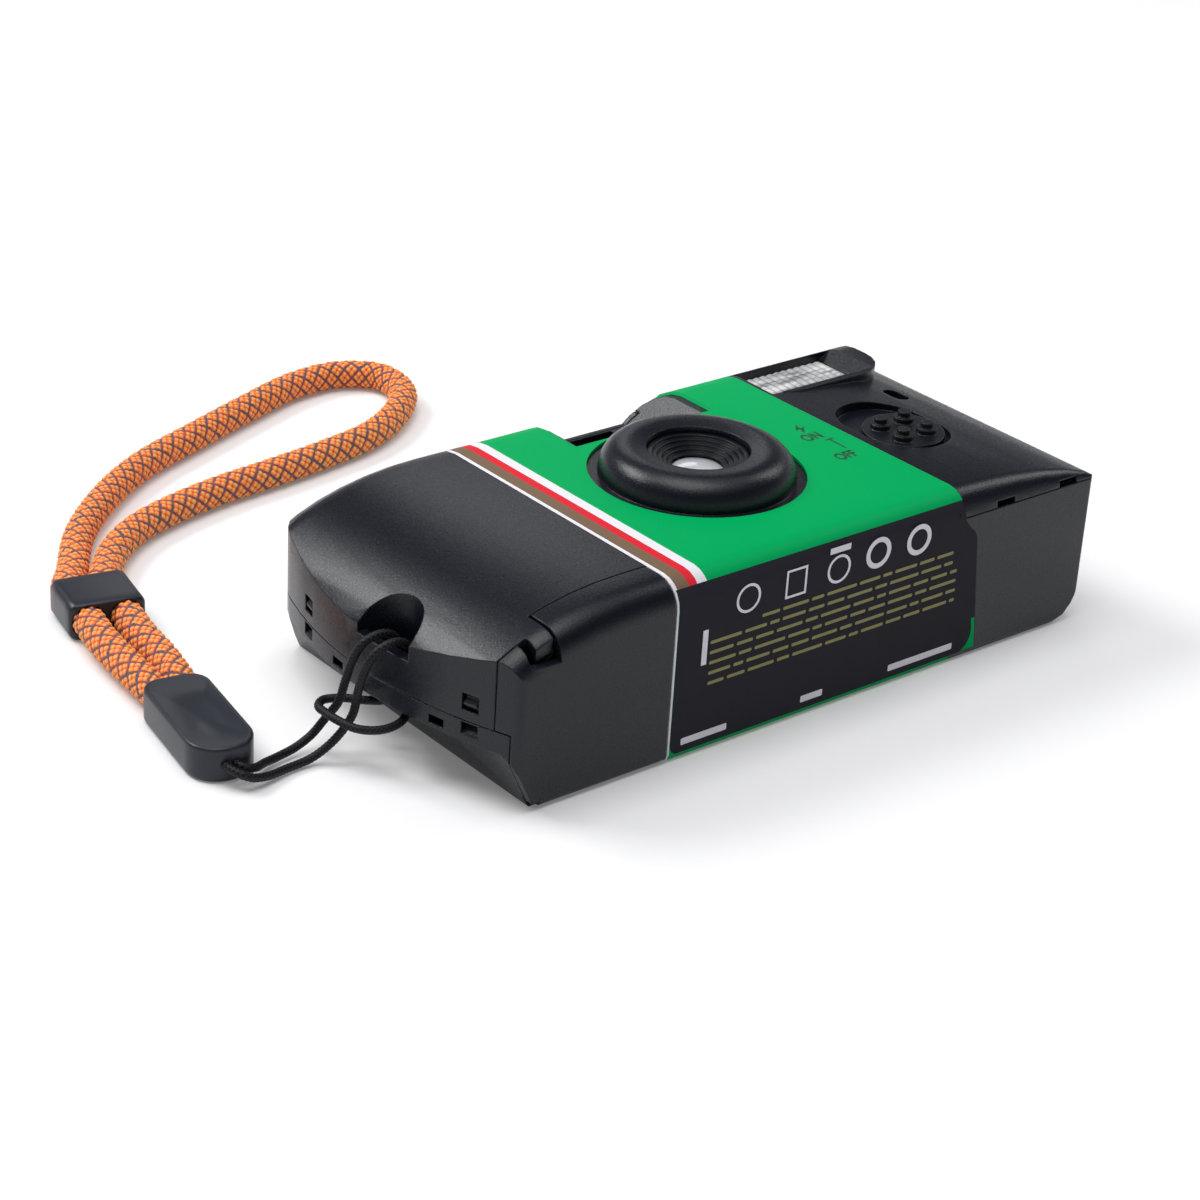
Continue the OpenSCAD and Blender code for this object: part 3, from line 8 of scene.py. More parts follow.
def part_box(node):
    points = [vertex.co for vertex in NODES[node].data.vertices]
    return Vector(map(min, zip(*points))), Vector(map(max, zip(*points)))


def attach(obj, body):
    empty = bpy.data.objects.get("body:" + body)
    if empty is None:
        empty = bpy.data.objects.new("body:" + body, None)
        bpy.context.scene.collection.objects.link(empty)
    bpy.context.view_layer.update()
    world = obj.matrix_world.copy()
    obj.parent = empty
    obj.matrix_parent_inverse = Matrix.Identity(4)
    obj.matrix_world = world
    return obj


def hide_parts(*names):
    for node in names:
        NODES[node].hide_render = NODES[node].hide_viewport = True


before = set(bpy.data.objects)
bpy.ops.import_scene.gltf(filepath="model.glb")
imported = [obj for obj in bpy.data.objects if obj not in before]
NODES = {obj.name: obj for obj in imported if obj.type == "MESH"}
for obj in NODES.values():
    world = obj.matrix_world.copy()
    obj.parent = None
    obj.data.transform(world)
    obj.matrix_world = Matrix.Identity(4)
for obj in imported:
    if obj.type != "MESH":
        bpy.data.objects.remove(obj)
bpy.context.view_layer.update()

MM = 0.001
scene = bpy.context.scene
scene.view_settings.view_transform = "Standard"


# ---------------------------------------------------------------- camera
AZ, EL, ROLL = math.radians(-40.406), math.radians(26.641), math.radians(3.537)
TARGET = Vector((-20.489, -8.028, 15.0)) * MM
DISTANCE = 388.971 * MM
FOCAL_PX, PHOTO_PX, SENSOR = 2925.76, 1200, 36.0


def add_camera():
    back = Vector((math.sin(AZ) * math.cos(EL), -math.cos(AZ) * math.cos(EL), math.sin(EL)))
    right = (-back).cross(Vector((0, 0, 1))).normalized()
    up = right.cross(-back)
    across = right * math.cos(ROLL) + up * math.sin(ROLL)
    upward = -right * math.sin(ROLL) + up * math.cos(ROLL)
    data = bpy.data.cameras.new("camera")
    data.sensor_width = SENSOR
    data.lens = FOCAL_PX / PHOTO_PX * SENSOR
    data.clip_start = 0.01
    data.clip_end = 20
    cam = bpy.data.objects.new("camera", data)
    scene.collection.objects.link(cam)
    cam.matrix_world = Matrix((
        (across.x, upward.x, back.x, TARGET.x + back.x * DISTANCE),
        (across.y, upward.y, back.y, TARGET.y + back.y * DISTANCE),
        (across.z, upward.z, back.z, TARGET.z + back.z * DISTANCE),
        (0, 0, 0, 1)))
    scene.camera = cam


add_camera()


# ---------------------------------------------------------------- material nodes
class Nodes:
    """A material's node tree, with a shader and short ways to add nodes to it."""

    def __init__(self, name):
        self.mat = bpy.data.materials.new(name)
        self.mat.use_nodes = True
        self.tree = self.mat.node_tree
        self.shader = self.tree.nodes["Principled BSDF"]

    def add(self, kind, inputs=(), out=0, **props):
        n = self.tree.nodes.new("ShaderNode" + kind)
        for k, v in props.items():
            setattr(n, k, v)
        items = inputs.items() if isinstance(inputs, dict) else enumerate(inputs)
        for k, v in items:
            self.put(n.inputs[k], v)
        return n.outputs[out]

    def put(self, socket, v):
        if isinstance(v, bpy.types.NodeSocket):
            self.tree.links.new(v, socket)
        elif v is not None:
            socket.default_value = v

    def math(self, op, a, b=None, c=None):
        return self.add("Math", [a, b, c], operation=op)

    def place(self):
        return self.add("TexCoord", out="Object")

    def noise(self, scale, detail=2.0, rough=0.5, at=None):
        return self.add("TexNoise", {"Vector": at or self.place(), "Scale": scale, "Detail": detail,
                                     "Roughness": rough})

    def mix(self, fac, a, b):
        n = self.tree.nodes.new("ShaderNodeMix")
        n.data_type = "RGBA"
        for k, v in ((0, fac), (6, a), (7, b)):
            self.put(n.inputs[k], v)
        return n.outputs[2]

    def ramp(self, fac, stops, kind="LINEAR"):
        n = self.tree.nodes.new("ShaderNodeValToRGB")
        n.color_ramp.interpolation = kind
        e = n.color_ramp.elements
        while len(e) < len(stops):
            e.new(0.5)
        for k, (p, c) in enumerate(stops):
            e[k].position = p
            e[k].color = c
        self.put(n.inputs[0], fac)
        return n.outputs[0]

    def bump(self, height, strength, distance, normal=None):
        return self.add("Bump", {"Height": height, "Strength": strength, "Distance": distance,
                                 "Normal": normal})

    def set(self, **values):
        for k, v in values.items():
            self.put(self.shader.inputs[k.replace("_", " ")], v)
        return self.mat


def rgb(r, g, b):
    """A colour written as 0-255 screen values, as the shader's linear one."""
    lin = [x / 255 / 12.92 if x <= 10.31 else ((x / 255 + 0.055) / 1.055) ** 2.4 for x in (r, g, b)]
    return (*lin, 1.0)


def plastic(name, dark, light, rough, grain, depth, edge=0.0, gloss=0.35):
    """Moulded plastic: a fine spark-eroded grain, slow colour drift and softened edges."""
    n = Nodes(name)
    drift = n.noise(140.0, 3.0)
    grit = n.noise(grain, 3.0, 0.65)
    soft = n.add("Bevel", {"Radius": edge * MM}, samples=4) if edge else None
    n.set(Base_Color=n.mix(drift, dark, light),
          Roughness=n.math("MULTIPLY_ADD", grit, 0.16, rough - 0.08), Specular_IOR_Level=gloss,
          Normal=n.bump(grit, 0.6, depth * MM, soft))
    return n.mat


M = {}
M["shell"] = plastic("shell_plastic", rgb(15, 18, 27), rgb(20, 23, 33), 0.29, 3400.0, 0.05, 0.3)
M["satin"] = plastic("satin_plastic", rgb(17, 19, 26), rgb(22, 24, 31), 0.3, 3600.0, 0.04, 0.3, 0.45)
M["fine"] = plastic("fine_plastic", rgb(36, 39, 48), rgb(43, 46, 55), 0.34, 4200.0, 0.03, 0.25)
M["inner"] = plastic("inner_plastic", rgb(24, 24, 27), rgb(30, 30, 33), 0.6, 2200.0, 0.04)
M["pale"] = plastic("pale_plastic", rgb(224, 220, 208), rgb(236, 232, 221), 0.42, 2400.0, 0.02)


def metal(name, dark, light, rough, streak, metallic=1.0):
    n = Nodes(name)
    where = n.add("Mapping", {"Vector": n.place(), "Scale": streak})
    lines = n.noise(900.0, 3.0, 0.6, where)
    n.set(Base_Color=n.mix(lines, dark, light), Metallic=metallic,
          Roughness=n.math("MULTIPLY_ADD", lines, 0.2, rough - 0.1),
          Normal=n.bump(lines, 0.2, 0.01 * MM))
    return n.mat


M["steel"] = metal("plain_steel", rgb(176, 178, 182), rgb(205, 207, 210), 0.32, (1, 0.06, 1))
M["bright"] = metal("bright_foil", rgb(232, 233, 236), rgb(250, 250, 252), 0.4, (1, 0.15, 0.3), 0.35)
M["copper"] = metal("bare_copper", rgb(176, 112, 70), rgb(206, 140, 92), 0.3, (1, 1, 0.1))


def painted(name, dark, light, rough, scale, coat=0.0):
    n = Nodes(name)
    spots = n.noise(scale, 4.0, 0.6)
    n.set(Base_Color=n.mix(spots, dark, light), Roughness=rough, Coat_Weight=coat,
          Normal=n.bump(spots, 0.15, 0.02 * MM))
    return n.mat


M["board"] = painted("circuit_board", rgb(38, 98, 58), rgb(52, 118, 70), 0.42, 700.0, 0.3)
M["can"] = painted("cartridge_can", rgb(33, 34, 37), rgb(42, 43, 46), 0.4, 500.0)
M["cell"] = painted("cell_wrap", rgb(168, 128, 58), rgb(186, 146, 72), 0.3, 400.0, 0.4)
M["blue"] = painted("shrunk_sleeve", rgb(34, 46, 78), rgb(44, 58, 92), 0.34, 600.0, 0.2)
M["film"] = painted("film_base", rgb(74, 57, 42), rgb(90, 70, 52), 0.2, 300.0, 0.5)
M["lamp"] = painted("ready_lamp", rgb(226, 96, 40), rgb(240, 120, 58), 0.22, 500.0, 0.6)


def clear(name, tint, rough, ior, coat, wave, through=1.0):
    """Clear moulded plastic with a faint flow waviness."""
    n = Nodes(name)
    flow = n.noise(220.0, 1.0)
    n.set(Base_Color=n.mix(flow, tint, tuple(min(1.0, c * 1.04) for c in tint[:3]) + (1.0,)),
          Roughness=rough, IOR=ior, Transmission_Weight=through, Coat_Weight=coat, Coat_Roughness=0.03,
          Normal=n.bump(flow, wave, 0.02 * MM))
    return n.mat


M["clear"] = clear("clear_plastic", (0.93, 0.95, 0.96, 1), 0.03, 1.49, 0.0, 0.15)
M["lens"] = clear("lens_plastic", (0.82, 0.83, 0.88, 1), 0.05, 1.5, 1.0, 0.03, 0.4)


def window_with_painted_reflection(name, dark, light):
    """The flash window, with the reflector's streaks painted into its colour: a painted reflection."""
    n = Nodes(name)
    where = n.add("Mapping", {"Vector": n.place(), "Rotation": (0, 0, 0.35), "Scale": (0.16, 1, 1)})
    streak = n.noise(560.0, 2.0, 0.55, where)
    # the grey-to-white streaks in the base colour are painted reflection of the reflector behind the window
    n.set(Base_Color=n.ramp(streak, [(0.36, dark), (0.54, light)]), Roughness=0.1, IOR=1.49,
          Transmission_Weight=0.22, Coat_Weight=0.6, Coat_Roughness=0.04,
          Normal=n.bump(streak, 0.3, 0.02 * MM))
    return n.mat


# these two colours make the window's painted reflection of the reflector
M["window"] = window_with_painted_reflection("ribbed_window", rgb(150, 152, 156), rgb(252, 252, 252))

GREEN = rgb(0, 168, 92)
BROWN = rgb(124, 103, 83)
RED = rgb(222, 46, 60)
WHITE = rgb(236, 234, 240)
DARK = rgb(45, 45, 52)
PALE = rgb(226, 226, 222)
SLEEVE_LEFT, SLEEVE_RIGHT = -23.6, 27.2
STRIPES = [(0.0, WHITE), (0.0079, BROWN), (0.0472, RED), (0.0748, WHITE), (0.1063, GREEN)]
PANEL_LEFT, PANEL_LOW, PANEL_TOP, PANEL_R, FLAP_R = -23.25, 1.0, 24.75, 1.6, 3.6
NOTCH_Y = 13.9
BACK_X, BACK_Y, BACK_HALF_W, BACK_HALF_H = 2.5, -3.0, 17.0, 14.0


def label_material():
    """Printed card: stripes down the left, a green field, a dark panel on the base and a pale one behind."""
    n = Nodes("printed_card")
    where = n.add("VectorMath", {"Vector": n.place(), "Scale": 1000.0}, operation="SCALE")
    axes = n.tree.nodes.new("ShaderNodeSeparateXYZ")
    n.put(axes.inputs[0], where)
    x, y, z = axes.outputs
    span = n.add("MapRange", {"Value": x, "From Min": SLEEVE_LEFT, "From Max": SLEEVE_RIGHT})
    stripes = n.ramp(span, STRIPES, "CONSTANT")

    def in_corner(a, b, r):
        """Inside a rounded corner, from the distances past its middle."""
        a, b = n.math("MAXIMUM", a, 0.0), n.math("MAXIMUM", b, 0.0)
        return n.math("LESS_THAN", n.math("ADD", n.math("MULTIPLY", a, a), n.math("MULTIPLY", b, b)), r * r)

    on_base = n.math("MULTIPLY", n.math("LESS_THAN", y, -20.0), n.math("LESS_THAN", z, PANEL_TOP))
    field = n.mix(on_base, stripes, GREEN)
    in_left = in_corner(n.math("SUBTRACT", PANEL_LEFT + PANEL_R, x),
                        n.math("SUBTRACT", PANEL_LOW + PANEL_R, z), PANEL_R)
    flap_edge = n.math("MULTIPLY_ADD", z, -0.16, 33.0)
    in_right = in_corner(n.math("SUBTRACT", x, n.math("SUBTRACT", flap_edge, FLAP_R + 0.25)),
                         n.math("SUBTRACT", PANEL_LOW + FLAP_R, z), FLAP_R)
    above = n.math("GREATER_THAN", z, 6.0)
    panel = n.math("MULTIPLY", on_base, n.math("MULTIPLY", in_left, n.math("MAXIMUM", in_right, above)))
    line = n.math("MULTIPLY", n.math("LESS_THAN", y, -20.0), n.math("LESS_THAN", x, -23.3))
    facing = n.tree.nodes.new("ShaderNodeSeparateXYZ")
    n.put(facing.inputs[0], n.add("NewGeometry", out="True Normal"))
    end = n.math("MULTIPLY", n.math("GREATER_THAN", n.math("ABSOLUTE", facing.outputs[0]), 0.9),
                 n.math("LESS_THAN", x, -20.0))
    hole = n.math("MULTIPLY", n.math("GREATER_THAN", y, NOTCH_Y),
                  n.math("LESS_THAN", n.math("ABSOLUTE", facing.outputs[2]), 0.3))
    hole = n.math("MULTIPLY", hole, n.math("GREATER_THAN", z, 25.0))
    bare = n.math("MAXIMUM", line, n.math("MAXIMUM", end, hole))
    across = n.math("LESS_THAN", n.math("ABSOLUTE", n.math("SUBTRACT", x, BACK_X)), BACK_HALF_W)
    along_y = n.math("LESS_THAN", n.math("ABSOLUTE", n.math("SUBTRACT", y, BACK_Y)), BACK_HALF_H)
    back = n.math("MULTIPLY", n.math("LESS_THAN", z, 0.3), n.math("MULTIPLY", across, along_y))
    printed = n.mix(back, n.mix(panel, field, DARK), PALE)
    colour = n.mix(bare, printed, WHITE)
    fibre = n.noise(1800.0, 3.0, 0.6)
    tint = n.mix(n.math("MULTIPLY", fibre, 0.06), colour, rgb(20, 20, 20))
    n.set(Base_Color=tint, Roughness=n.math("MULTIPLY_ADD", fibre, 0.1, 0.38), Specular_IOR_Level=0.03,
          Normal=n.bump(fibre, 0.12, 0.01 * MM))
    return n.mat


M["card"] = label_material()


def ink(name, colour, other):
    """Print on the card."""
    n = Nodes(name)
    n.set(Base_Color=n.mix(n.noise(2600.0, 2.0), colour, other), Roughness=0.36)
    return n.mat


M["white_ink"] = ink("white_ink", WHITE, rgb(220, 218, 226))
M["yellow_ink"] = ink("yellow_ink", rgb(142, 134, 60), rgb(120, 113, 52))
M["dark_ink"] = ink("dark_ink", rgb(20, 66, 44), rgb(26, 76, 52))
M["black_ink"] = ink("black_ink", rgb(24, 24, 26), rgb(34, 34, 36))


# ---------------------------------------------------------------- meshes
def mesh_piece(name, verts, faces, material, body, smooth=True, uv=None, at=None):
    """A piece in metres in the row frame; uv gives one pair per face corner."""
    me = bpy.data.meshes.new(name)
    me.from_pydata([tuple(v) for v in verts], [], [tuple(f) for f in faces])
    me.validate()
    if smooth:
        me.polygons.foreach_set("use_smooth", [True] * len(me.polygons))
    if uv is not None:
        layer = me.uv_layers.new(name="run")
        layer.data.foreach_set("uv", np.asarray(uv, np.float32).ravel())
    me.materials.append(M[material])
    o = bpy.data.objects.new(name, me)
    scene.collection.objects.link(o)
    if at is not None:
        o.matrix_world = at
    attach(o, body)
    return o


def smooth_line(points, step):
    """An even centripetal Catmull-Rom line through the points."""
    p = np.array(points, float)
    p = np.vstack([2 * p[0] - p[1], p, 2 * p[-1] - p[-2]])
    out = []
    for a, b, c, d in zip(p, p[1:], p[2:], p[3:]):
        t0 = 0.0
        t1 = t0 + np.linalg.norm(b - a) ** 0.5
        t2 = t1 + np.linalg.norm(c - b) ** 0.5
        t3 = t2 + np.linalg.norm(d - c) ** 0.5
        t = np.linspace(t1, t2, 24, endpoint=False)[:, None]
        a1 = (t1 - t) / (t1 - t0) * a + (t - t0) / (t1 - t0) * b
        a2 = (t2 - t) / (t2 - t1) * b + (t - t1) / (t2 - t1) * c
        a3 = (t3 - t) / (t3 - t2) * c + (t - t2) / (t3 - t2) * d
        b1 = (t2 - t) / (t2 - t0) * a1 + (t - t0) / (t2 - t0) * a2
        b2 = (t3 - t) / (t3 - t1) * a2 + (t - t1) / (t3 - t1) * a3
        out.append((t2 - t) / (t2 - t1) * b1 + (t - t1) / (t2 - t1) * b2)
    line = np.vstack(out + [p[-2:-1]])
    run = np.concatenate([[0], np.cumsum(np.linalg.norm(np.diff(line, axis=0), axis=1))])
    even = np.linspace(0, run[-1], int(run[-1] / step) + 1)
    return np.stack([np.interp(even, run, line[:, k]) for k in range(3)], 1), even


def frames(line):
    """Two unit vectors across the line at each point, turning as little as they can."""
    t = np.gradient(line, axis=0)
    t /= np.linalg.norm(t, axis=1)[:, None]
    side = np.zeros_like(line)
    first = np.cross(t[0], [0, 0, 1.0])
    side[0] = first / np.linalg.norm(first)
    for k in range(1, len(line)):
        v = side[k - 1] - t[k] * np.dot(side[k - 1], t[k])
        side[k] = v / np.linalg.norm(v)
    return side, np.cross(t, side)


def braid_height(u, turn, strands, pitch, line):
    """Height of a one-over, one-under braid, 0 to 1; a thin line yarn follows every second strand."""
    wide = 1 - line / 2

    def strand(x):
        """Which strand of a pair, where across it, and whether it is the line yarn."""
        p = np.mod(x, 2.0)
        k = np.floor(p / wide)
        return k, p / wide - k, p > 2 - line

    i, xs, line_s = strand(strands * (turn + u / pitch))
    j, xz, line_z = strand(strands * (turn - u / pitch))
    over = 0.65 * np.sqrt(1 - 0.9 * (2 * xs - 1) ** 2) + 0.35 * np.sin(np.pi * xz)
    under = 0.65 * np.sqrt(1 - 0.9 * (2 * xz - 1) ** 2) + 0.35 * np.sin(np.pi * xs)
    return np.where(line_s | line_z, 0.5, np.where(np.mod(i + j, 2.0) < 1, over, under))


def braided(name, line, run, girth, strands, pitch, thin, relief, sides, material, body, floor=0.02):
    """A braided tube along the line, in mm; its uv holds the run and the turn in strands."""
    side, up = frames(line)
    turn = np.arange(sides) / sides
    u, v = np.meshgrid(run, turn, indexing="ij")
    h = braid_height(u, v, strands, pitch, thin)
    r = girth[:, None] - relief * (1 - h)
    ang = 2 * np.pi * v
    pts = (line[:, None, :] + (r * np.cos(ang))[..., None] * side[:, None, :]
           + (r * np.sin(ang))[..., None] * up[:, None, :])
    pts[..., 2] = np.maximum(pts[..., 2], floor)
    n = len(line)
    k, j = np.meshgrid(np.arange(n - 1), np.arange(sides), indexing="ij")
    j2 = (j + 1) % sides
    here, beyond = k * sides, (k + 1) * sides
    faces = np.stack([here + j, here + j2, beyond + j2, beyond + j], -1).reshape(-1, 4)
    ku = run * strands / pitch
    vs = strands / sides
    corners = ((0, 0), (0, 1), (1, 1), (1, 0))
    uv = np.stack([np.stack([ku[k + a], (j + b) * vs], -1) for a, b in corners], 2).reshape(-1, 2)
    return mesh_piece(name, pts.reshape(-1, 3) * MM, faces.tolist(), material, body, True, uv)


def braid_material(name, yarn, painted_crown_highlight, other, line, rough, fuzz, depth, gloss):
    """The braid's yarns: the strand on top decides how the fibres run, and line yarns cross it. Each strand
    is painted lighter along its crown, a painted highlight, and darker toward its edges, painted shade.
    """
    n = Nodes(name)
    wide = 1 - line / 2
    sep = n.tree.nodes.new("ShaderNodeSeparateXYZ")
    n.put(sep.inputs[0], n.add("UVMap", uv_map="run"))
    u, v = sep.outputs[0], sep.outputs[1]
    s, z = n.math("ADD", v, u), n.math("SUBTRACT", v, u)
    ps, pz = n.math("FLOORED_MODULO", s, 2.0), n.math("FLOORED_MODULO", z, 2.0)
    ks, kz = n.math("DIVIDE", ps, wide), n.math("DIVIDE", pz, wide)
    i, j = n.math("FLOOR", ks), n.math("FLOOR", kz)
    over = n.math("LESS_THAN", n.math("FLOORED_MODULO", n.math("ADD", i, j), 2.0), 0.5)

    def pick(a, b):
        return n.math("ADD", n.math("MULTIPLY", over, a),
                      n.math("MULTIPLY", n.math("SUBTRACT", 1.0, over), b))

    def squared(a):
        return n.math("MULTIPLY", a, a)

    from_mid = n.math("SUBTRACT", n.math("FRACT", pick(ks, kz)), 0.5)
    from_end = n.math("SUBTRACT", n.math("FRACT", pick(kz, ks)), 0.5)
    fall = n.math("ADD", n.math("MULTIPLY", squared(from_mid), 4.0),
                  n.math("MULTIPLY", squared(from_end), 2.0))
    fibre_at = n.add("CombineXYZ", [n.math("MULTIPLY", pick(s, z), 5.0),
                                    n.math("MULTIPLY", pick(z, s), 0.6), n.math("MULTIPLY", over, 3.7)])
    fibre = n.noise(1.6, 3.0, 0.6, fibre_at)
    # painted highlight along each strand's crown, fading to painted shade at its edges
    crest = n.math("MAXIMUM", n.math("SUBTRACT", 1.0, fall), 0.0)
    bright = n.math("MULTIPLY", crest, n.math("ADD", fibre, 0.45))
    colour = n.mix(bright, yarn, painted_crown_highlight)
    if line:
        sway = n.math("MULTIPLY_ADD", n.noise(0.9, 2.0, 0.6, n.add("CombineXYZ", [u, v, 0.0])), 0.9, -0.45)
        on_line = n.math("GREATER_THAN", n.math("ADD", n.math("MAXIMUM", ps, pz), sway), 2 - line)
        colour = n.mix(on_line, colour, n.mix(fibre, other, tuple(1.8 * c for c in other)))
    n.set(Base_Color=colour, Roughness=rough, Sheen_Weight=fuzz, Sheen_Roughness=0.45,
          Specular_IOR_Level=gloss, Normal=n.bump(fibre, 0.6, depth * MM))
    return n.mat


# ---------------------------------------------------------------- strap
CAP_AT, CAP_TURN, CAP_L, CAP_W, CAP_H = (-71.3, 10.2), -10.0, 21.0, 9.2, 5.1
SLIDER_AT, SLIDER_TURN, SLIDER_L, SLIDER_W, SLIDER_H = (-64.8, 47.3), -12.0, 9.8, 11.0, 5.4
ROPE_Z, LIE_Z = 2.75, 2.3
ROPE_D, CORD_D = 4.68, 1.2
CAP_SIDE, SLIDER_SIDE, CORD_SIDE = 2.15, 2.7, 0.75
CAP_R_TAIL, CAP_R_ROPE = 4.5, 2.9
BORE_R = 2.42


def along(at, turn, across, s, z):
    """A point of a piece that lies turned on the floor: across it, along it and up."""
    c, d = math.cos(math.radians(turn)), math.sin(math.radians(turn))
    return [at[0] + across * c - s * d, at[1] + across * d + s * c, z]


def on_cap(across, s, z=ROPE_Z):
    return along(CAP_AT, CAP_TURN, across, s, z)


def on_slider(across, s, z=ROPE_Z):
    return along(SLIDER_AT, SLIDER_TURN, across, s, z)


ROPE_LOOP = [
    (-62.6, 58.4), (-55.2, 69), (-44.6, 79), (-34.8, 85.4), (-22.6, 90.5), (-10, 95.5), (2.5, 99.8),
    (11, 99.9), (16.6, 95.6), (16.1, 88.4), (10.6, 82), (1.8, 76.7), (-9.5, 74), (-20, 72.5), (-30, 71.3),
    (-40.3, 68.9), (-47.7, 66), (-53.5, 61.8), (-57.4, 57.4)]
STOPS = [-11.5, -5, 0, 5.4]
ROPE_OUT = [CAP_L / 2 - 4, CAP_L / 2, CAP_L / 2 + 2.5]
ROPE_ROUTE = (
    [on_cap(-CAP_SIDE, s) for s in ROPE_OUT] + [[-70.7, 28.6, ROPE_Z]]
    + [on_slider(-SLIDER_SIDE, s) for s in STOPS]
    + [[x, y, LIE_Z] for x, y in ROPE_LOOP]
    + [on_slider(SLIDER_SIDE, s) for s in reversed(STOPS)] + [[-65.5, 29, ROPE_Z]]
    + [on_cap(CAP_SIDE, s) for s in reversed(ROPE_OUT)])
CORD_ROUTE = (
    [on_cap(CORD_SIDE, s) for s in (-CAP_L / 2 + 2, -CAP_L / 2 - 0.3)]
    + [[-71.6, -1.6, 2.4], [-70.2, -1.3, 1.9], [-68.2, -0.2, 1.4], [-65.4, 0.8, 1],
       [-62.4, 1.3, 1.2], [-60, 1.3, 2.3], [-58.3, 0.7, 4.5], [-57.2, -0.5, 7], [-57.1, -1.8, 10.5],
       [-56.9, -2.8, 13.6], [-55.9, -3.5, 16.2], [-54.2, -3.9, 17.3], [-52.5, -4.1, 17.3],
       [-51.2, -4.2, 16.5], [-50.8, -4.2, 14.8], [-50.8, -4.1, 12], [-50.8, -3.8, 9],
       [-51.4, -3.1, 7], [-53, -1.2, 6.4], [-55.2, 1.2, 6.3], [-57.6, 2.2, 6.3], [-59.2, 1, 6.4],
       [-59.6, -1.5, 6.6], [-59.5, -4.2, 6.7], [-58.6, -7, 6.6], [-56.4, -8.6, 6.5],
       [-53.8, -8.8, 6.6], [-51.8, -8, 7], [-50.8, -7.4, 9], [-50.8, -7.1, 12], [-50.8, -7, 14.8],
       [-51.2, -7, 16.5], [-52.5, -6.9, 17.3], [-54.2, -6.8, 17.3], [-55.9, -6.4, 16.2],
       [-57, -5.8, 13.6], [-57.3, -5, 10.5], [-57.4, -4.2, 7.2], [-58.2, -3.2, 4.6],
       [-59.7, -2.3, 2.4], [-62.2, -1.9, 1], [-66, -2.1, 0.8], [-69.2, -2.8, 1.1],
       [-71.6, -3.1, 1.7], [-73, -2.6, 2.3]]
    + [on_cap(-CORD_SIDE, s) for s in (-CAP_L / 2 - 0.3, -CAP_L / 2 + 2)])

ROPE_STRANDS, ROPE_PITCH, ROPE_LINE = 10, 14.5, 0.34
CORD_STRANDS, CORD_PITCH, CORD_LINE = 6, 3.4, 0.0
# for rope and cord, the second colour is a painted highlight on the strand crowns; the first is the yarn's
# colour with painted shade at the strand edges
M["rope"] = braid_material("rope_braid", rgb(242, 70, 10), rgb(255, 190, 102), rgb(84, 72, 80), ROPE_LINE,
                           rough=0.7, fuzz=0.12, depth=0.05, gloss=0.3)
M["cord"] = braid_material("cord_braid", rgb(5, 5, 7), rgb(42, 42, 47), rgb(5, 5, 7), CORD_LINE,
                           rough=0.42, fuzz=0.0, depth=0.03, gloss=0.2)


def add_rope():
    line, run = smooth_line(ROPE_ROUTE, 0.15)
    end = np.minimum(run, run[-1] - run)
    girth = 1.93 + 0.41 * np.clip((end - 3.9) / 3.0, 0, 1) ** 0.7
    o = braided("strap_rope_braid", line, run, girth, ROPE_STRANDS, ROPE_PITCH, ROPE_LINE, 0.42, 144,
                "rope", "camera")
    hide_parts("strap_rope")
    return o, line, run[-1]


def add_cord():
    line, run = smooth_line(CORD_ROUTE, 0.1)
    girth = np.full(len(run), CORD_D / 2)
    o = braided("strap_cord_braid", line, run, girth, CORD_STRANDS, CORD_PITCH, CORD_LINE, 0.16, 36,
                "cord", "camera")
    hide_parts("strap_cord")
    return o, line, run[-1]


def rounded_outline(w, l, r_tail, r_rope, d, n=10):
    """A slab's outline in its own frame, drawn in by d: across and along."""
    pts = []
    for cx, cy, r, a0 in ((w / 2 - r_tail, -l / 2 + r_tail, r_tail, 270),
                          (w / 2 - r_rope, l / 2 - r_rope, r_rope, 0),
                          (-w / 2 + r_rope, l / 2 - r_rope, r_rope, 90),
                          (-w / 2 + r_tail, -l / 2 + r_tail, r_tail, 180)):
        for k in range(n + 1):
            a = math.radians(a0 + 90 * k / n)
            rr = max(r - d, 0.02)
            pull = r - d - rr
            sx, sy = (1 if cx > 0 else -1), (1 if cy > 0 else -1)
            pts.append((cx + sx * pull + rr * math.cos(a), cy + sy * pull + rr * math.sin(a)))
    return pts


def add_end_cap():
    def dish(s, c):
        """The thumb hollow in the top, deepest toward the tail."""
        f = max(0.0, 1 - ((s + 2.6) / 7.6) ** 2) * max(0.0, 1 - (c / 4.2) ** 2)
        return 1.1 * f ** 1.3

    rings = []
    for z, d in ((0.05, 0.75), (0.12, 0.45), (0.3, 0.2), (0.6, 0.05), (1.0, 0), (4.5, 0), (4.75, 0.04),
                 (4.92, 0.13), (5.04, 0.27), (5.1, 0.45)):
        rings.append([(x, s, z) for x, s in rounded_outline(CAP_W, CAP_L, CAP_R_TAIL, CAP_R_ROPE, d)])
    rim = rings[-1]
    for f in (0.95, 0.89, 0.82, 0.74, 0.65, 0.56, 0.46, 0.36, 0.25, 0.14, 0.05):
        rings.append([(f * x, f * s, CAP_H - dish(f * s, f * x)) for x, s, _ in rim])
    n = len(rings[0])
    verts = [Vector(along(CAP_AT, CAP_TURN, *p)) * MM for ring in rings for p in ring]
    faces = [(k * n + j, k * n + (j + 1) % n, (k + 1) * n + (j + 1) % n, (k + 1) * n + j)
             for k in range(len(rings) - 1) for j in range(n)]
    faces += [tuple(range(n - 1, -1, -1)), tuple((len(rings) - 1) * n + j for j in range(n))]
    o = mesh_piece("end_cap_shell", verts, faces, "fine", "camera")
    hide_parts("strap_end_cap")
    return o


rope, rope_line, rope_len = add_rope()
cord, cord_line, cord_len = add_cord()
end_cap = add_end_cap()


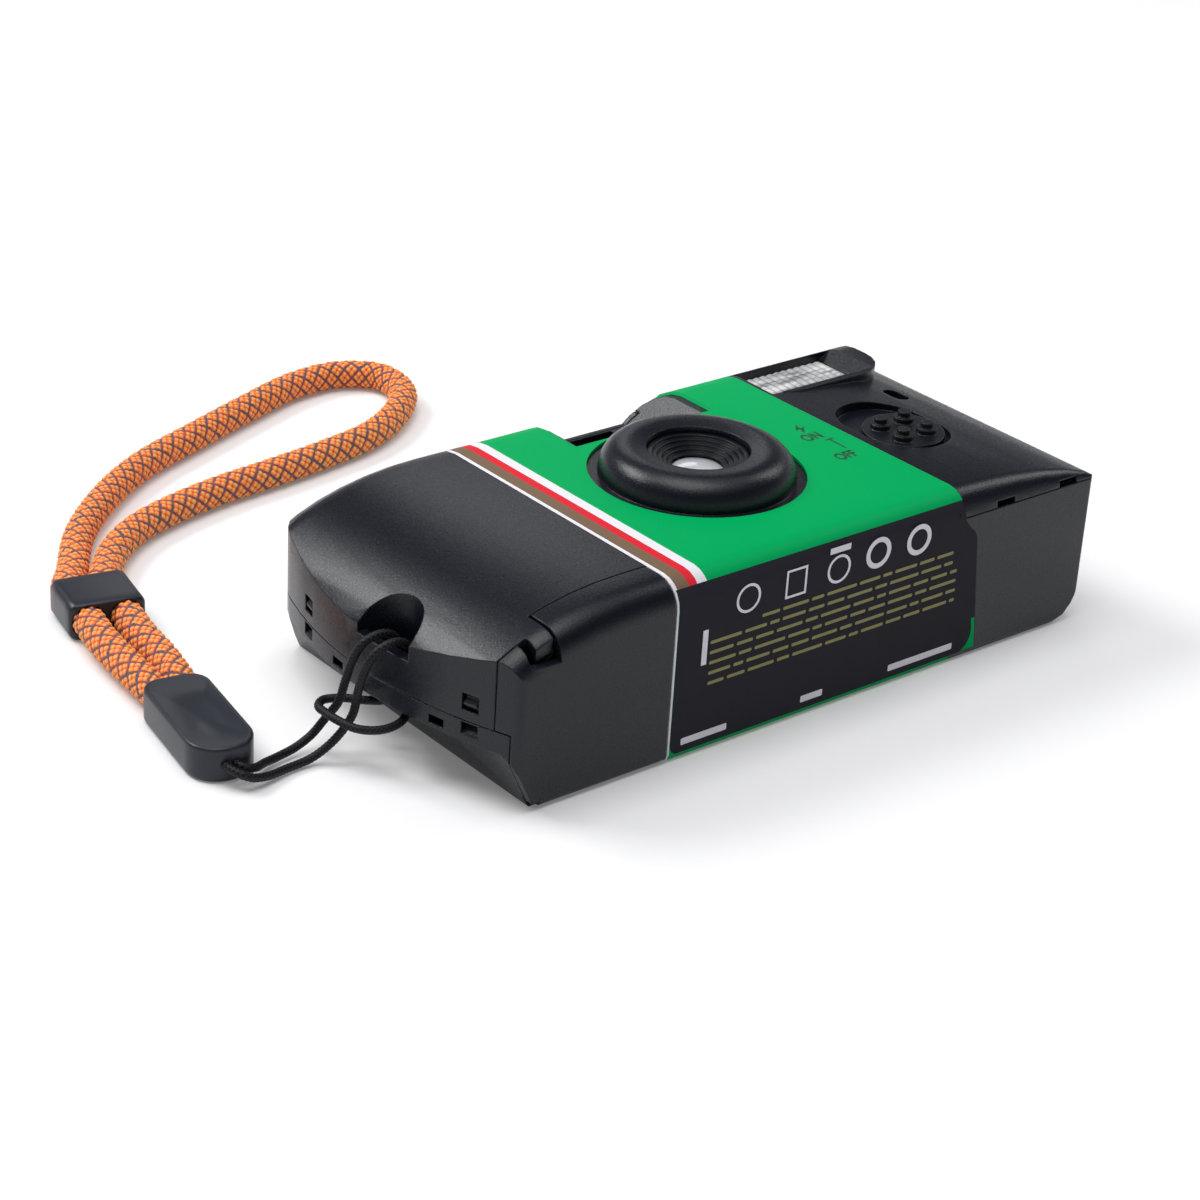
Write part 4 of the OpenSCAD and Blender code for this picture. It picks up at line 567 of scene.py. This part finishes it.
def add_slider():
    """A bowed block with a bore for each run of the rope."""
    me = bpy.data.meshes.new("slider_shell")
    bm = bmesh.new()
    half, r, n = SLIDER_W / 2, 1.3, 6
    section = []
    for cx, cz, a0 in ((half - r, 0.05 + r, 270), (half - r, 0.05 + SLIDER_H - r, 0),
                       (-half + r, 0.05 + SLIDER_H - r, 90), (-half + r, 0.05 + r, 180)):
        for k in range(n + 1):
            a = math.radians(a0 + 90 * k / n)
            section.append((cx + r * math.cos(a), cz + r * math.sin(a)))
    rows = []
    for f, inset in ((-1, 0.35), (-0.96, 0.1), (-0.9, 0), (-0.5, 0), (0, 0), (0.5, 0), (0.9, 0), (0.96, 0.1),
                     (1, 0.35)):
        row = []
        for c, z in section:
            bow = 0.45 * (1 - (c / half) ** 2)
            s = f * (SLIDER_L / 2 - 0.45 + bow)
            mid = 0.05 + SLIDER_H / 2
            k = 1 - inset / (SLIDER_H / 2)
            row.append(bm.verts.new(Vector(along(SLIDER_AT, SLIDER_TURN, c * (1 - inset / half), s,
                                                 mid + (z - mid) * k)) * MM))
        rows.append(row)
    m = len(section)
    for a, b in zip(rows, rows[1:]):
        for j in range(m):
            bm.faces.new((a[j], a[(j + 1) % m], b[(j + 1) % m], b[j]))
    bm.faces.new(list(reversed(rows[0])))
    bm.faces.new(rows[-1])
    bmesh.ops.recalc_face_normals(bm, faces=bm.faces)
    bm.to_mesh(me)
    bm.free()
    o = bpy.data.objects.new("slider_shell", me)
    scene.collection.objects.link(o)
    me.materials.append(M["fine"])
    cutters = []
    for side in (-1, 1):
        p = Vector(on_slider(side * SLIDER_SIDE, 0)) * MM
        bpy.ops.mesh.primitive_cylinder_add(vertices=48, radius=BORE_R * MM, depth=20 * MM, location=p,
                                            rotation=(math.pi / 2, 0, math.radians(SLIDER_TURN)))
        cutters.append(bpy.context.object)
        cut = o.modifiers.new("bore", "BOOLEAN")
        cut.operation = "DIFFERENCE"
        cut.object = cutters[-1]
        cut.solver = "EXACT"
    bpy.context.view_layer.objects.active = o
    bpy.context.view_layer.update()
    shaped = bpy.data.meshes.new_from_object(o.evaluated_get(bpy.context.evaluated_depsgraph_get()))
    o.modifiers.clear()
    o.data = shaped
    for c in cutters:
        bpy.data.objects.remove(c)
    shaped.polygons.foreach_set("use_smooth", [True] * len(shaped.polygons))
    shaped.set_sharp_from_angle(angle=math.radians(38))
    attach(o, "slider")
    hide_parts("strap_slider")
    return o


slider = add_slider()


# ---------------------------------------------------------------- carried-over nodes
FINISH = {
    "shell": ["front_cover", "rear_cover", "film_door"],
    "satin": ["shutter_button", "flash_switch", "thumb_wheel", "lens_retainer"],
    "inner": ["main_body", "cartridge_spool", "supply_spool"],
    "pale": ["drive_lever", "lock_lever", "film_sprocket", "counter_dial"],
    "card": ["label_sleeve"],
    "lens": ["taking_lens"],
    "window": ["flash_window"],
    "clear": ["viewfinder_front_lens", "viewfinder_rear_lens", "counter_window", "flash_tube"],
    "lamp": ["ready_lamp"],
    "steel": ["aperture_plate", "shutter_blade", "drive_spring", "battery_contact_plus",
              "battery_contact_minus"],
    "bright": ["flash_reflector"],
    "copper": ["transformer", "trigger_coil", "switch_contact", "sync_contact"],
    "board": ["flash_board"], "can": ["film_cartridge"], "cell": ["battery"], "blue": ["main_capacitor"],
    "film": ["film_strip", "film_roll"], "rope": ["strap_rope"], "cord": ["strap_cord"],
    "fine": ["strap_end_cap", "strap_slider"],
}


def soften(o, degrees):
    """Shades a faceted solid as the smooth one it stands for; no vertex moves."""
    me = o.data
    co = np.empty(len(me.vertices) * 3, np.float32)
    me.vertices.foreach_get("co", co)
    co = co.reshape(-1, 3)
    tri = np.empty(len(me.loops), np.int32)
    me.loops.foreach_get("vertex_index", tri)
    tri = tri.reshape(-1, 3)
    p = co[tri]
    normal = np.cross(p[:, 1] - p[:, 0], p[:, 2] - p[:, 0])
    normal /= np.maximum(np.linalg.norm(normal, axis=1), 1e-20)[:, None]
    e1, e2 = np.roll(p, -1, 1) - p, np.roll(p, 1, 1) - p
    e1 /= np.maximum(np.linalg.norm(e1, axis=2), 1e-20)[..., None]
    e2 /= np.maximum(np.linalg.norm(e2, axis=2), 1e-20)[..., None]
    angle = np.arccos(np.clip((e1 * e2).sum(2), -1, 1))
    _, spot = np.unique(np.round(co * 1e6).astype(np.int64), axis=0, return_inverse=True)
    corner_spot = spot.ravel()[tri].ravel()
    corner_n = np.repeat(normal, 3, 0)
    corner_w = angle.ravel()
    order = np.argsort(corner_spot, kind="stable")
    out = np.empty_like(corner_n)
    cut = math.cos(math.radians(degrees))
    starts = np.flatnonzero(np.diff(corner_spot[order], prepend=-1))
    for a, b in zip(starts, list(starts[1:]) + [len(order)]):
        ids = order[a:b]
        n = corner_n[ids]
        near = (n @ n.T) > cut
        out[ids] = near.astype(float) @ (n * corner_w[ids][:, None])
    out /= np.maximum(np.linalg.norm(out, axis=1), 1e-20)[:, None]
    me.polygons.foreach_set("use_smooth", [True] * len(me.polygons))
    me.normals_split_custom_set(out.tolist())


SMOOTH_ANGLE = 31

for finish, names in FINISH.items():
    for name in names:
        me = NODES[name].data
        me.materials.clear()
        me.materials.append(M[finish])
for name in ("front_cover", "rear_cover", "film_door", "label_sleeve", "drive_spring", "shutter_button",
             "thumb_wheel", "main_body"):
    soften(NODES[name], SMOOTH_ANGLE)


# ---------------------------------------------------------------- print on the sleeve
def flat_piece(name, polygons, to_world, material, body="camera"):
    """Thin print: polygons given in a plane's own mm."""
    verts, faces = [], []
    for poly in polygons:
        faces.append(tuple(range(len(verts), len(verts) + len(poly))))
        verts += [Vector(to_world(*p)) * MM for p in poly]
    o = mesh_piece(name, verts, faces, material, body, smooth=False)
    return o


def bar(x0, y0, x1, y1, r=0.0):
    """A rectangle, with rounded corners where r is given."""
    if not r:
        return [(x0, y0), (x1, y0), (x1, y1), (x0, y1)]
    pts = []
    for cx, cy, a0 in ((x1 - r, y0 + r, 270), (x1 - r, y1 - r, 0), (x0 + r, y1 - r, 90),
                       (x0 + r, y0 + r, 180)):
        for k in range(6):
            a = math.radians(a0 + 90 * k / 5)
            pts.append((cx + r * math.cos(a), cy + r * math.sin(a)))
    return pts


def ring(cx, cy, r, t, n=40):
    """A ring as a row of quads."""
    out = []
    for k in range(n):
        a, b = 2 * math.pi * k / n, 2 * math.pi * (k + 1) / n
        out.append([(cx + q * math.cos(c), cy + q * math.sin(c))
                    for q, c in ((r, a), (r, b), (r - t, b), (r - t, a))])
    return out


HALF_W, HALF_H, END_BULGE = 54.0, 27.0, 5.8
LATCHES_Y = (-20.0, 13.2)
DIAL_X, DIAL_Z, DIAL_RING = -13.5, 11.5, 3.7
DIAL_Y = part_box("counter_dial")[1][1] / MM + 0.02
BASE_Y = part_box("label_sleeve")[0][1] / MM - 0.015
FRONT_Z = 26.0 + 0.015


def on_base(x, z):
    return (x, BASE_Y, z)


def on_front(x, y):
    return (x, y, FRONT_Z)


def add_base_print():
    """Plain marks and ruled dashes where the real sleeve has its print."""
    white = [bar(-18.9, 13.1, -18.0, 18.2), bar(2.7, 23.4, 6.4, 24.3)]
    white += [bar(x0, 2.1, x1, 3.1, 0.2) for x0, x1 in ((-21.4, -13.5), (-0.3, 3.7), (16.0, 28.4))]
    for x in (-11.4, 4.6):
        white += ring(x, 20.9, 2.1, 0.4)
    white += [bar(-4.9, 18.9, -1.2, 19.25), bar(-4.9, 22.7, -1.2, 23.05), bar(-4.9, 19.25, -4.55, 22.7),
              bar(-1.55, 19.25, -1.2, 22.7)]
    white += ring(11.8, 21.4, 2.3, 0.75)
    white += ring(19.4, 21.4, 2.3, 0.75)
    flat_piece("base_print_white", white, on_base, "white_ink")
    rows = [(-8.7, 27.4, 17.6), (-17.5, 27.5, 16.1), (-17.5, 27.6, 14.6), (-17.5, 27.6, 13.1),
            (-17.5, 27.7, 11.6), (-17.5, 27.7, 10.1)]
    widths = (3.1, 4.6, 2.2, 5.4, 3.8, 1.7, 4.1, 2.8)
    yellow = []
    for k, (x0, x1, z) in enumerate(rows):
        x, w = x0, k * 3
        while x < x1 - 0.6:
            end = min(x + widths[w % len(widths)], x1)
            yellow.append(bar(x, z - 0.24, end, z + 0.24, 0.2))
            x = end + 0.55
            w += 1
    flat_piece("base_print_yellow", yellow, on_base, "yellow_ink")


def end_wall(across, deep, z):
    """A point of the grip's end wall: along it, into it and up."""
    y0 = across[0]
    slope = 2 * END_BULGE * y0 / HALF_H ** 2
    turn = -math.atan(slope)
    x, y = deep, across[1]
    return (-HALF_W + END_BULGE * (y0 / HALF_H) ** 2 + x * math.cos(turn) - y * math.sin(turn),
            y0 + x * math.sin(turn) + y * math.cos(turn), z)


def add_latch_ramps():
    """The sloped noses of the snap latches, seen in the windows of the end wall."""
    upper = [(0.1, 13.5), (0.1, 13.8), (0.85, 14.75), (1.2, 14.75), (1.2, 14.4), (0.58, 14.4), (0.58, 13.5)]
    lower = [(0.06, 9.22), (1.1, 10.3), (1.3, 10.3), (1.3, 9.22)]
    for k, y0 in enumerate(LATCHES_Y):
        for kind, profile, half in (("upper", upper, 1.0), ("lower", lower, 1.25)):
            n = len(profile)
            verts = [Vector(end_wall((y0, side * half), d, z)) * MM for side in (-1, 1) for d, z in profile]
            faces = [tuple(range(n)), tuple(range(2 * n - 1, n - 1, -1))]
            faces += [(j, n + j, n + (j + 1) % n, (j + 1) % n) for j in range(n)]
            o = mesh_piece("latch_ramp_%s_%d" % (kind, k), verts, faces, "satin", "camera", smooth=False)


def letters(word, size, bold=0.0):
    """A word's outline as mesh points and faces, in mm about its middle."""
    data = bpy.data.curves.new("word", "FONT")
    data.body = word
    data.size = size
    data.offset = bold
    data.align_x = "CENTER"
    data.align_y = "CENTER"
    text = bpy.data.objects.new("word", data)
    scene.collection.objects.link(text)
    bpy.context.view_layer.update()
    me = bpy.data.meshes.new_from_object(text.evaluated_get(bpy.context.evaluated_depsgraph_get()))
    bpy.data.objects.remove(text)
    return [(v.co.x, v.co.y) for v in me.vertices], [tuple(p.vertices) for p in me.polygons]


def add_counter_numbers():
    """The exposures left, every third one, round the counter dial."""
    verts, faces = [], []
    for k in range(10):
        pts, polygons = letters(str(27 - 3 * k), 1.9, 0.02)
        a = math.radians(36 * k)
        faces += [tuple(j + len(verts) for j in f) for f in polygons]
        verts += [Vector((DIAL_X - (DIAL_RING + y) * math.sin(a) - x * math.cos(a), DIAL_Y,
                          DIAL_Z + (DIAL_RING + y) * math.cos(a) - x * math.sin(a))) * MM for x, y in pts]
    o = mesh_piece("counter_numbers", verts, faces, "black_ink", "dial", smooth=False)


def add_words():
    """The switch's two words, its guide line and the flash sign."""
    for word, x, y, size in (("ON", 23.0, -0.95, 2.5), ("OFF", 22.75, -8.3, 2.4)):
        pts, faces = letters(word, size, 0.075)
        verts = [Vector((0.85 * px + x, 1.2 * py + y, FRONT_Z)) * MM for px, py in pts]
        o = mesh_piece("switch_word_" + word, verts, faces, "dark_ink", "camera", smooth=False)
    marks = [bar(24.4, -6.4, 24.7, -3.0), bar(23.8, -3.0, 25.3, -2.7)]
    marks.append([(23.9, 3.6), (22.6, 1.95), (23.4, 2.0), (23.0, 0.6), (24.4, 2.3), (23.6, 2.25)])
    flat_piece("switch_marks", marks, on_front, "dark_ink")


add_base_print()
add_words()
add_latch_ramps()
add_counter_numbers()


# ---------------------------------------------------------------- floor, light and world
FLOOR_HALF, FLOOR_LIFT = 4.0, 0.14


def add_stage():
    """A pale floor, lifted a little toward white for the camera, in gloss and through glass."""
    n = Nodes("pale_floor")
    tree = n.tree
    n.set(Base_Color=(0.84, 0.84, 0.845, 1), Roughness=0.9, Specular_IOR_Level=0.1)
    path = tree.nodes.new("ShaderNodeLightPath")
    seen = n.math("MAXIMUM", path.outputs["Is Camera Ray"],
                  n.math("MAXIMUM", path.outputs["Is Glossy Ray"], path.outputs["Is Transmission Ray"]))
    lift = n.add("Emission", {"Color": (1, 1, 1, 1), "Strength": n.math("MULTIPLY", seen, FLOOR_LIFT)})
    both = tree.nodes.new("ShaderNodeAddShader")
    tree.links.new(n.shader.outputs[0], both.inputs[0])
    tree.links.new(lift, both.inputs[1])
    out = next(k for k in tree.nodes if k.bl_idname == "ShaderNodeOutputMaterial")
    tree.links.new(both.outputs[0], out.inputs[0])
    me = bpy.data.meshes.new("floor")
    h = FLOOR_HALF
    me.from_pydata([(-h, -h, 0), (h, -h, 0), (h, h, 0), (-h, h, 0)], [], [(0, 1, 2, 3)])
    me.materials.append(n.mat)
    o = bpy.data.objects.new("floor", me)
    scene.collection.objects.link(o)


def add_light(name, at, toward, wide, high, power):
    data = bpy.data.lights.new(name, "AREA")
    data.shape = "RECTANGLE"
    data.size = wide
    data.size_y = high
    data.energy = power
    o = bpy.data.objects.new(name, data)
    scene.collection.objects.link(o)
    o.location = at
    o.rotation_euler = (Vector(toward) - Vector(at)).to_track_quat("-Z", "Y").to_euler()


def add_world():
    """A studio with a pale horizon, a dim band above it and a bright ceiling."""
    w = bpy.data.worlds.new("studio")
    scene.world = w
    w.use_nodes = True
    tree = w.node_tree
    where = tree.nodes.new("ShaderNodeTexCoord")
    sky = tree.nodes.new("ShaderNodeSeparateXYZ")
    ramp = tree.nodes.new("ShaderNodeValToRGB")
    e = ramp.color_ramp.elements
    stops = [(0.0, 0.55), (0.2, 0.28), (0.38, 0.06), (0.76, 0.05), (0.94, 1.0)]
    while len(e) < len(stops):
        e.new(0.5)
    for k, (height, level) in enumerate(stops):
        e[k].position = height
        e[k].color = (level, level, level * 1.03, 1)
    tree.links.new(where.outputs["Generated"], sky.inputs[0])
    tree.links.new(sky.outputs[2], ramp.inputs[0])
    tree.links.new(ramp.outputs[0], tree.nodes["Background"].inputs[0])


add_stage()
add_world()
add_light("overhead_box", (-0.14, 0.0, 0.85), (-0.02, 0.0, 0.0), 0.55, 0.55, 3.0)
add_light("back_box", (-0.385, 0.61, 0.705), (-0.045, 0.0, 0.02), 0.5, 0.3, 5.2)
add_light("far_box", (0.42, 0.674, 0.43), (-0.03, 0.0, 0.026), 0.28, 0.22, 0.26)
add_light("right_box", (0.72, 0.03, 0.58), (0.0, 0.0, 0.02), 0.3, 0.4, 1.2)
